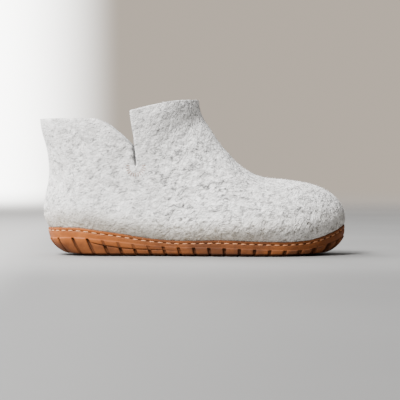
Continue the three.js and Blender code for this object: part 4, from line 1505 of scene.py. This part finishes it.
    def _add_bars(self, sheet: bmesh.types.BMesh) -> None:
        """Adds the cross bars of the tread, with rounded edges."""
        form = self.form
        heel_end, toe_end = form.ends(0.0, 0.0)
        inset = self.lug_underfoot + 2 * self.tread_margin
        bars = int((form.sole_length - form.heel_roll - form.toe_roll) / self.tread_pitch)
        for k in range(bars + 1):
            x = form.heel_x + form.heel_roll + self.tread_pitch * (k + 0.5)
            reach = min(x - self.tread_bar / 2 - heel_end, toe_end - x - self.tread_bar / 2)
            if reach < inset:
                continue
            outer, inner = form.widths(np.array([x]), heel_end + inset, toe_end - inset,
                                       -inset - form.side_roll)
            width = float(outer[0] + inner[0])
            if width < 2 * self.tread_bar:
                continue
            height = self.tread_depth + self.bar_round
            verts = bmesh.ops.create_cube(sheet, size=1)["verts"]
            bmesh.ops.scale(sheet, verts=verts, vec=(self.tread_bar, width, height))
            centre = (x, float(inner[0] - outer[0]) / 2, height / 2)
            bmesh.ops.translate(sheet, verts=verts, vec=centre)
            edges = list({edge for vert in verts for edge in vert.link_edges})
            bmesh.ops.bevel(sheet, geom=edges, offset=self.bar_round, segments=2, profile=0.5,
                            affect="EDGES", material=-1)

    def build(self, material: bpy.types.Material) -> bpy.types.Object:
        """Builds the sole.

        Args:
            material: Its rubber.

        Returns:
            The piece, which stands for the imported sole.
        """
        rows = self._upper_rows() + self._lug_rows()
        rows += self._under_rows(rows[-1])
        points = np.stack(rows)
        points = np.concatenate([points, points[:, :1]], axis=1)
        sheet = bmesh.new()
        # Each point keeps its painted shade and soiling
        shade_and_soil = sheet.verts.layers.float.new(RubberFinish.SHADE_AND_SOIL)
        for vert, amount in zip(grid_sheet(sheet, points[..., :3]), points[..., 3].ravel()):
            vert[shade_and_soil] = amount
        close_doubles(sheet, 0.004 * MM)
        open_edges = [edge for edge in sheet.edges if edge.is_boundary]
        between = self.tread_depth + 0.8 * MM
        for in_cup in (True, False):
            loop = [edge for edge in open_edges if (edge.verts[0].co.z > between) == in_cup]
            bmesh.ops.triangle_fill(sheet, edges=loop, use_beauty=True, normal=(0, 0, 1))
        bmesh.ops.recalc_face_normals(sheet, faces=sheet.faces)
        self._add_bars(sheet)
        sole = make_piece("rubber_sole", sheet, self.origin, material)
        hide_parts("sole")
        return sole

    def stitch_places(self, pitch: float, sunk: float) -> list[tuple[Vector, Vector, Vector]]:
        """Lays out the stitches in the channel round the rim.

        Args:
            pitch: Length of a stitch with the gap after it.
            sunk: How deep the stitches lie below the band.

        Returns:
            Middle, run and outward direction of each stitch.
        """
        ring = self.form.wall_ring(lambda x: 1 - self.stitch_drop / self.form.rim(x), 0.0)
        closed = np.concatenate([ring, ring[:1]])
        run = np.concatenate([[0], np.cumsum(np.linalg.norm(np.diff(closed, axis=0), axis=1))])
        count = round(run[-1] / pitch)
        places = []
        for k in range(count):
            before, here, after = (
                Vector([np.interp((k + 0.5 + step) / count * run[-1], run, closed[:, axis])
                        for axis in range(3)])
                for step in (-0.3, 0.0, 0.3)
            )
            ahead = (after - before).normalized()
            out = ahead.cross(Vector((0, 0, 1))).normalized()
            places.append((here - out * sunk, ahead, out))
        return places


@dataclass
class Stitches:
    """Sewing thread: short bent stitches joined into one piece."""

    name: str
    slot: Slot
    length: float
    radius: float
    dip: float
    segments: int = 8

    def build(self, places: Sequence[tuple[Vector, Vector, Vector]], origin: Vector,
              material: bpy.types.Material) -> bpy.types.Object:
        """Lays one stitch at each place.

        Args:
            places: Middle, run and outward direction of each stitch.
            origin: Where the form's own origin lies in the frame.
            material: The thread's finish.

        Returns:
            The piece with all stitches.
        """
        sheet = bmesh.new()
        for middle, ahead, out in places:
            across = out.cross(ahead)
            verts = bmesh.ops.create_uvsphere(sheet, u_segments=self.segments,
                                              v_segments=self.segments, radius=1)["verts"]
            for vert in verts:
                x, y, s = vert.co
                ring = math.hypot(x, y)
                full = (1 - abs(s) ** 5) ** 0.4 * self.radius / ring if ring > 1e-5 else 0
                bow = out * (x * full - self.dip * abs(s) ** 3)
                vert.co = middle + ahead * (s * self.length / 2) + bow + across * (y * full)
        bmesh.ops.recalc_face_normals(sheet, faces=sheet.faces)
        return make_piece(self.name, sheet, origin, material)


@dataclass
class SlitFan:
    """Places of the small stitches that fan out below the slit, on both sides."""

    form: Form
    origin: Vector
    count: int = 13
    reach: float = 7.4 * MM
    first_angle: float = -190
    last_angle: float = 10
    raised: float = 0.1 * MM
    away: float = 200 * MM

    def places(self, upper: bpy.types.Object) -> list[tuple[Vector, Vector, Vector]]:
        """Finds the places on the finished felt.

        Args:
            upper: The upper.

        Returns:
            Middle, run and outward direction of each stitch.
        """
        graph = bpy.context.evaluated_depsgraph_get()
        foot_x = self.form.heel_x + self.form.sole_length * SLIT_LINE[0][0] + self.origin.x
        foot_z = self.form.collar_height * SLIT_LINE[0][1]
        found = []
        for side in Side:
            for k in range(self.count):
                angle = math.radians(mix(self.first_angle, self.last_angle, k / (self.count - 1)))
                fan = Vector((math.cos(angle), 0, math.sin(angle)))
                start = Vector((foot_x, self.away * side.value, foot_z)) + fan * self.reach
                inward = Vector((0, -side.value, 0))
                hit, spot, out, _ = upper.ray_cast(start, inward, depsgraph=graph)
                if hit:
                    ahead = (fan - out * fan.dot(out)).normalized()
                    found.append((spot - self.origin + out * self.raised, ahead, out))
        return found


@dataclass
class Insole:
    """Loose felt insole on the floor of the cup."""

    form: Form
    origin: Vector
    thickness: float = 3.5 * MM
    inset: float = 7.6 * MM
    gap: float = 0.3 * MM
    edge_round: float = 0.9 * MM
    columns: int = 64
    rows: int = 20

    def build(self, material: bpy.types.Material) -> bpy.types.Object:
        """Builds the insole.

        Args:
            material: Its felt.

        Returns:
            The piece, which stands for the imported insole.
        """
        form = self.form
        x = mix(form.heel_x + self.inset, form.toe_x - self.inset, close_at_ends(self.columns))
        outer, inner = form.cup_ring(self.inset, x)
        y = mix(-outer[None], inner[None], close_at_ends(self.rows)[:, None])
        top = form.cup_floor(x) + self.gap + self.thickness
        points = np.stack(np.broadcast_arrays(x[None], y, top[None]), axis=-1)
        sheet = bmesh.new()
        grid_sheet(sheet, points)
        close_doubles(sheet)
        bmesh.ops.recalc_face_normals(sheet, faces=sheet.faces)
        if next(iter(sheet.faces)).normal.z < 0:
            bmesh.ops.reverse_faces(sheet, faces=sheet.faces)
        insole = make_piece("felt_insole", sheet, self.origin, material)
        thick = insole.modifiers.new("sheet", "SOLIDIFY")
        thick.thickness = self.thickness
        thick.offset = -1
        edge = insole.modifiers.new("edge", "BEVEL")
        edge.width = self.edge_round
        edge.segments = 3
        edge.limit_method = "ANGLE"
        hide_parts("insole")
        return insole


@dataclass(frozen=True)
class Lamp:
    """Soft square lamp."""

    name: str
    place: tuple[float, float, float]
    size: float
    power: float

    def hang(self, aim: Vector) -> None:
        """Hangs the lamp so that it faces a point."""
        data = bpy.data.lights.new(self.name, "AREA")
        data.size = self.size
        data.energy = self.power
        lamp = bpy.data.objects.new(self.name, data)
        lamp.location = self.place
        lamp.rotation_euler = (aim - Vector(self.place)).to_track_quat("-Z", "Y").to_euler()
        bpy.context.scene.collection.objects.link(lamp)


@dataclass
class Studio:
    """Pale floor, plain light and the camera."""

    # Floor colours: two shades of cloud, painted shade towards the camera, painted window light
    # behind the heel
    FLOOR_GREY = (0.2, 0.197, 0.193, 1)
    FLOOR_PALE = (0.235, 0.232, 0.227, 1)
    FLOOR_NEAR_PAINTED_SHADE = (0.13, 0.128, 0.125, 1)
    FLOOR_PAINTED_WINDOW_LIGHT = (0.42, 0.41, 0.4, 1)
    # What the camera sees behind the slipper: the wall, the window's glow and the far floor
    SEEN_WALL = (0.62, 0.535, 0.445, 1)
    SEEN_WINDOW = (9.0, 8.9, 8.6, 1)
    SEEN_FLOOR = (0.6, 0.56, 0.52, 1)
    # What the room casts: from the dark side, from the window's side and from below
    CAST_DARK = (0.2, 0.195, 0.19, 1)
    CAST_BRIGHT = (1.5, 1.5, 1.5, 1)
    CAST_BELOW = (0.16, 0.158, 0.155, 1)
    LAMPS = (
        Lamp("window", (-0.84, -1.06, 1.55), 0.7, 115),
        Lamp("back", (-0.9, 0.6, 1.2), 0.9, 42),
    )

    camera_place: tuple[float, float, float] = (6.7 * MM, -1600 * MM, 83 * MM)
    focal_pixels: float = 1720
    picture_pixels: float = 400
    horizon_pixel: float = 165
    sensor: float = 36.0
    floor_radius: float = 3.2
    floor_fade: tuple[float, float] = (0.7, 2.6)
    floor_sunk: float = 0.1 * MM
    lamp_aim: tuple[float, float, float] = (0, 0, 0.06)

    def place_camera(self) -> None:
        """Places the camera where the photograph was taken from."""
        data = bpy.data.cameras.new("camera")
        data.sensor_width = self.sensor
        data.lens = self.sensor * self.focal_pixels / self.picture_pixels
        data.clip_end = 50
        tilt = math.atan2(self.picture_pixels / 2 - self.horizon_pixel, self.focal_pixels)
        camera = bpy.data.objects.new("camera", data)
        camera.location = self.camera_place
        camera.rotation_euler = (math.pi / 2 - tilt, 0, 0)
        bpy.context.scene.collection.objects.link(camera)
        bpy.context.scene.camera = camera

    def lay_floor(self) -> None:
        """Lays the floor, which fades into the background."""
        sheet = bmesh.new()
        bmesh.ops.create_circle(sheet, cap_ends=True, segments=96, radius=self.floor_radius)
        mesh = bpy.data.meshes.new("floor")
        sheet.to_mesh(mesh)
        sheet.free()
        material, nodes = new_material("pale_floor")
        place = nodes.node("ShaderNodeTexCoord", {}).outputs["Object"]
        far = nodes.node("ShaderNodeVectorMath", {0: place}, operation="LENGTH").outputs["Value"]
        fade = nodes.span(far, *self.floor_fade)
        cloud = nodes.span(nodes.noise(place, 3.0, 4, 0.6), 0.3, 0.7)
        base = nodes.blend(cloud, self.FLOOR_GREY, self.FLOOR_PALE)
        parts = nodes.node("ShaderNodeSeparateXYZ", {0: place})
        # Painted shade towards the camera, and a painted pool of window light behind the heel
        near = nodes.span(parts.outputs["Y"], -0.1, -0.4, 0.0, 0.75)
        base = nodes.blend(near, base, self.FLOOR_NEAR_PAINTED_SHADE)
        painted_window_light = nodes.span(parts.outputs["X"], -0.1, -0.22)
        base = nodes.blend(painted_window_light, base, self.FLOOR_PAINTED_WINDOW_LIGHT)
        matt = nodes.node("ShaderNodeBsdfPrincipled", {"Base Color": base, "Roughness": 0.55})
        clear = nodes.node("ShaderNodeBsdfTransparent", {})
        both = nodes.node("ShaderNodeMixShader", {
            0: fade, 1: matt.outputs["BSDF"], 2: clear.outputs["BSDF"]})
        nodes.node("ShaderNodeOutputMaterial", {"Surface": both.outputs["Shader"]})
        mesh.materials.append(material)
        floor = bpy.data.objects.new("floor", mesh)
        floor.location.z = -self.floor_sunk
        bpy.context.scene.collection.objects.link(floor)

    def light(self) -> None:
        """Lights the scene like a bright room with its window on the left."""
        world = bpy.data.worlds.new("room")
        world.use_nodes = True
        world.node_tree.nodes.clear()
        nodes = NodeSheet(world.node_tree)
        way = nodes.node("ShaderNodeTexCoord", {}).outputs["Generated"]
        parts = nodes.node("ShaderNodeSeparateXYZ", {0: way})
        window = nodes.span(parts.outputs["X"], -0.045, -0.125)
        seen = nodes.blend(window, self.SEEN_WALL, self.SEEN_WINDOW)
        far_floor = nodes.span(parts.outputs["Z"], -0.012, -0.03)
        seen = nodes.blend(far_floor, seen, self.SEEN_FLOOR)
        bright = nodes.span(parts.outputs["X"], 0.1, -0.5)
        cast = nodes.blend(bright, self.CAST_DARK, self.CAST_BRIGHT)
        below = nodes.span(parts.outputs["Z"], 0.02, -0.02)
        cast = nodes.blend(below, cast, self.CAST_BELOW)
        camera_ray = nodes.node("ShaderNodeLightPath", {}).outputs["Is Camera Ray"]
        colour = nodes.blend(camera_ray, cast, seen)
        back = nodes.node("ShaderNodeBackground", {"Color": colour, "Strength": 1.0})
        nodes.node("ShaderNodeOutputWorld", {"Surface": back.outputs["Background"]})
        bpy.context.scene.world = world
        for lamp in self.LAMPS:
            lamp.hang(Vector(self.lamp_aim))


# Outer felt, with painted shade near the rubber
FELT = FeltFinish("mottled_felt", light=(0.93, 0.912, 0.887, 1), middle=(0.75, 0.733, 0.708, 1),
                  dark=(0.16, 0.156, 0.15, 1), fleck=(0.06, 0.06, 0.063, 1),
                  shade="painted_shade_by_rubber", painted_shade_colour=(0.38, 0.3, 0.19, 1), painted_shade_strength=0.6)
# Darker copy of the felt for the inside and cut edges: painted shade, with a painted shadow in the
# slit
INNER_FELT_PAINTED_SHADE = FeltFinish("inner_felt_painted_shade", light=(0.58, 0.575, 0.565, 1), middle=(0.47, 0.465, 0.455, 1),
                        dark=(0.25, 0.25, 0.245, 1), fleck=(0.1, 0.1, 0.1, 1),
                        shade="painted_shadow_in_slit", painted_shade_colour=(0.03, 0.028, 0.026, 1), painted_shade_strength=0.95)
INSOLE_FELT = FeltFinish("insole_felt", light=(0.62, 0.61, 0.59, 1), middle=(0.54, 0.53, 0.51, 1),
                         dark=(0.4, 0.4, 0.39, 1), fleck=(0.24, 0.24, 0.24, 1), bump=0.4)
# Its darkest colour is painted shade and soiling
RUBBER = RubberFinish("caramel_rubber", colour=(0.34, 0.098, 0.017, 1), deep=(0.25, 0.066, 0.01, 1),
                      shade_and_soil=(0.075, 0.025, 0.009, 1))
# The rim thread takes painted shade from the middle to the toe
RIM_THREAD = ThreadFinish("rim_thread", colour=(0.72, 0.34, 0.15, 1), shade=(0.42, 0.17, 0.07, 1),
                          thread_painted_shade=0.9)
SLIT_THREAD = ThreadFinish("slit_thread", colour=(0.4, 0.23, 0.17, 1), shade=(0.27, 0.145, 0.1, 1))

RIM_STITCHES = Stitches("rim_stitches", Slot.RUBBER, length=5.2 * MM, radius=0.62 * MM,
                        dip=0.7 * MM)
SLIT_STITCHES = Stitches("slit_stitches", Slot.FELT, length=4.2 * MM, radius=0.3 * MM,
                         dip=0.35 * MM)

CREASES = (
    Crease((0.49, 0.895), (0.545, 0.84), 0.4 * MM, 4.5 * MM),
    Crease((0.42, 0.868), (0.5, 0.86), 0.25 * MM, 5 * MM),
)


def main() -> None:
    """Builds the slipper and the studio around it."""
    logging.basicConfig(level=logging.INFO, format="%(name)s: %(message)s")
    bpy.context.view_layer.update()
    studio = Studio()
    studio.place_camera()
    form, origin = measure_form()
    LOG.info("sole %.1f mm, collar %.1f mm", form.sole_length / MM, form.collar_height / MM)

    felt = FELT.material()
    upper = FeltUpper(form, origin, creases=CREASES)
    upper_piece = upper.build(felt, INNER_FELT_PAINTED_SHADE.material())
    LOG.info("upper: %d faces in its sheet", len(upper_piece.data.polygons))

    sole = CupSole(form, origin)
    sole_piece = sole.build(RUBBER.material())
    LOG.info("sole: %d faces", len(sole_piece.data.polygons))

    round_rim = sole.stitch_places(pitch=7.6 * MM, sunk=0.25 * MM)
    RIM_STITCHES.build(round_rim, origin, RIM_THREAD.material())
    below_slits = SlitFan(form, origin).places(upper_piece)
    SLIT_STITCHES.build(below_slits, origin, SLIT_THREAD.material())
    LOG.info("stitches: %d round the rim, %d below the slits", len(round_rim), len(below_slits))

    Insole(form, origin).build(INSOLE_FELT.material())
    fuzz = WoolFuzz(upper_piece)
    fuzz.build(felt)
    LOG.info("fuzz: %d fibres", fuzz.count)

    studio.lay_floor()
    studio.light()


if __name__ == "__main__":
    main()
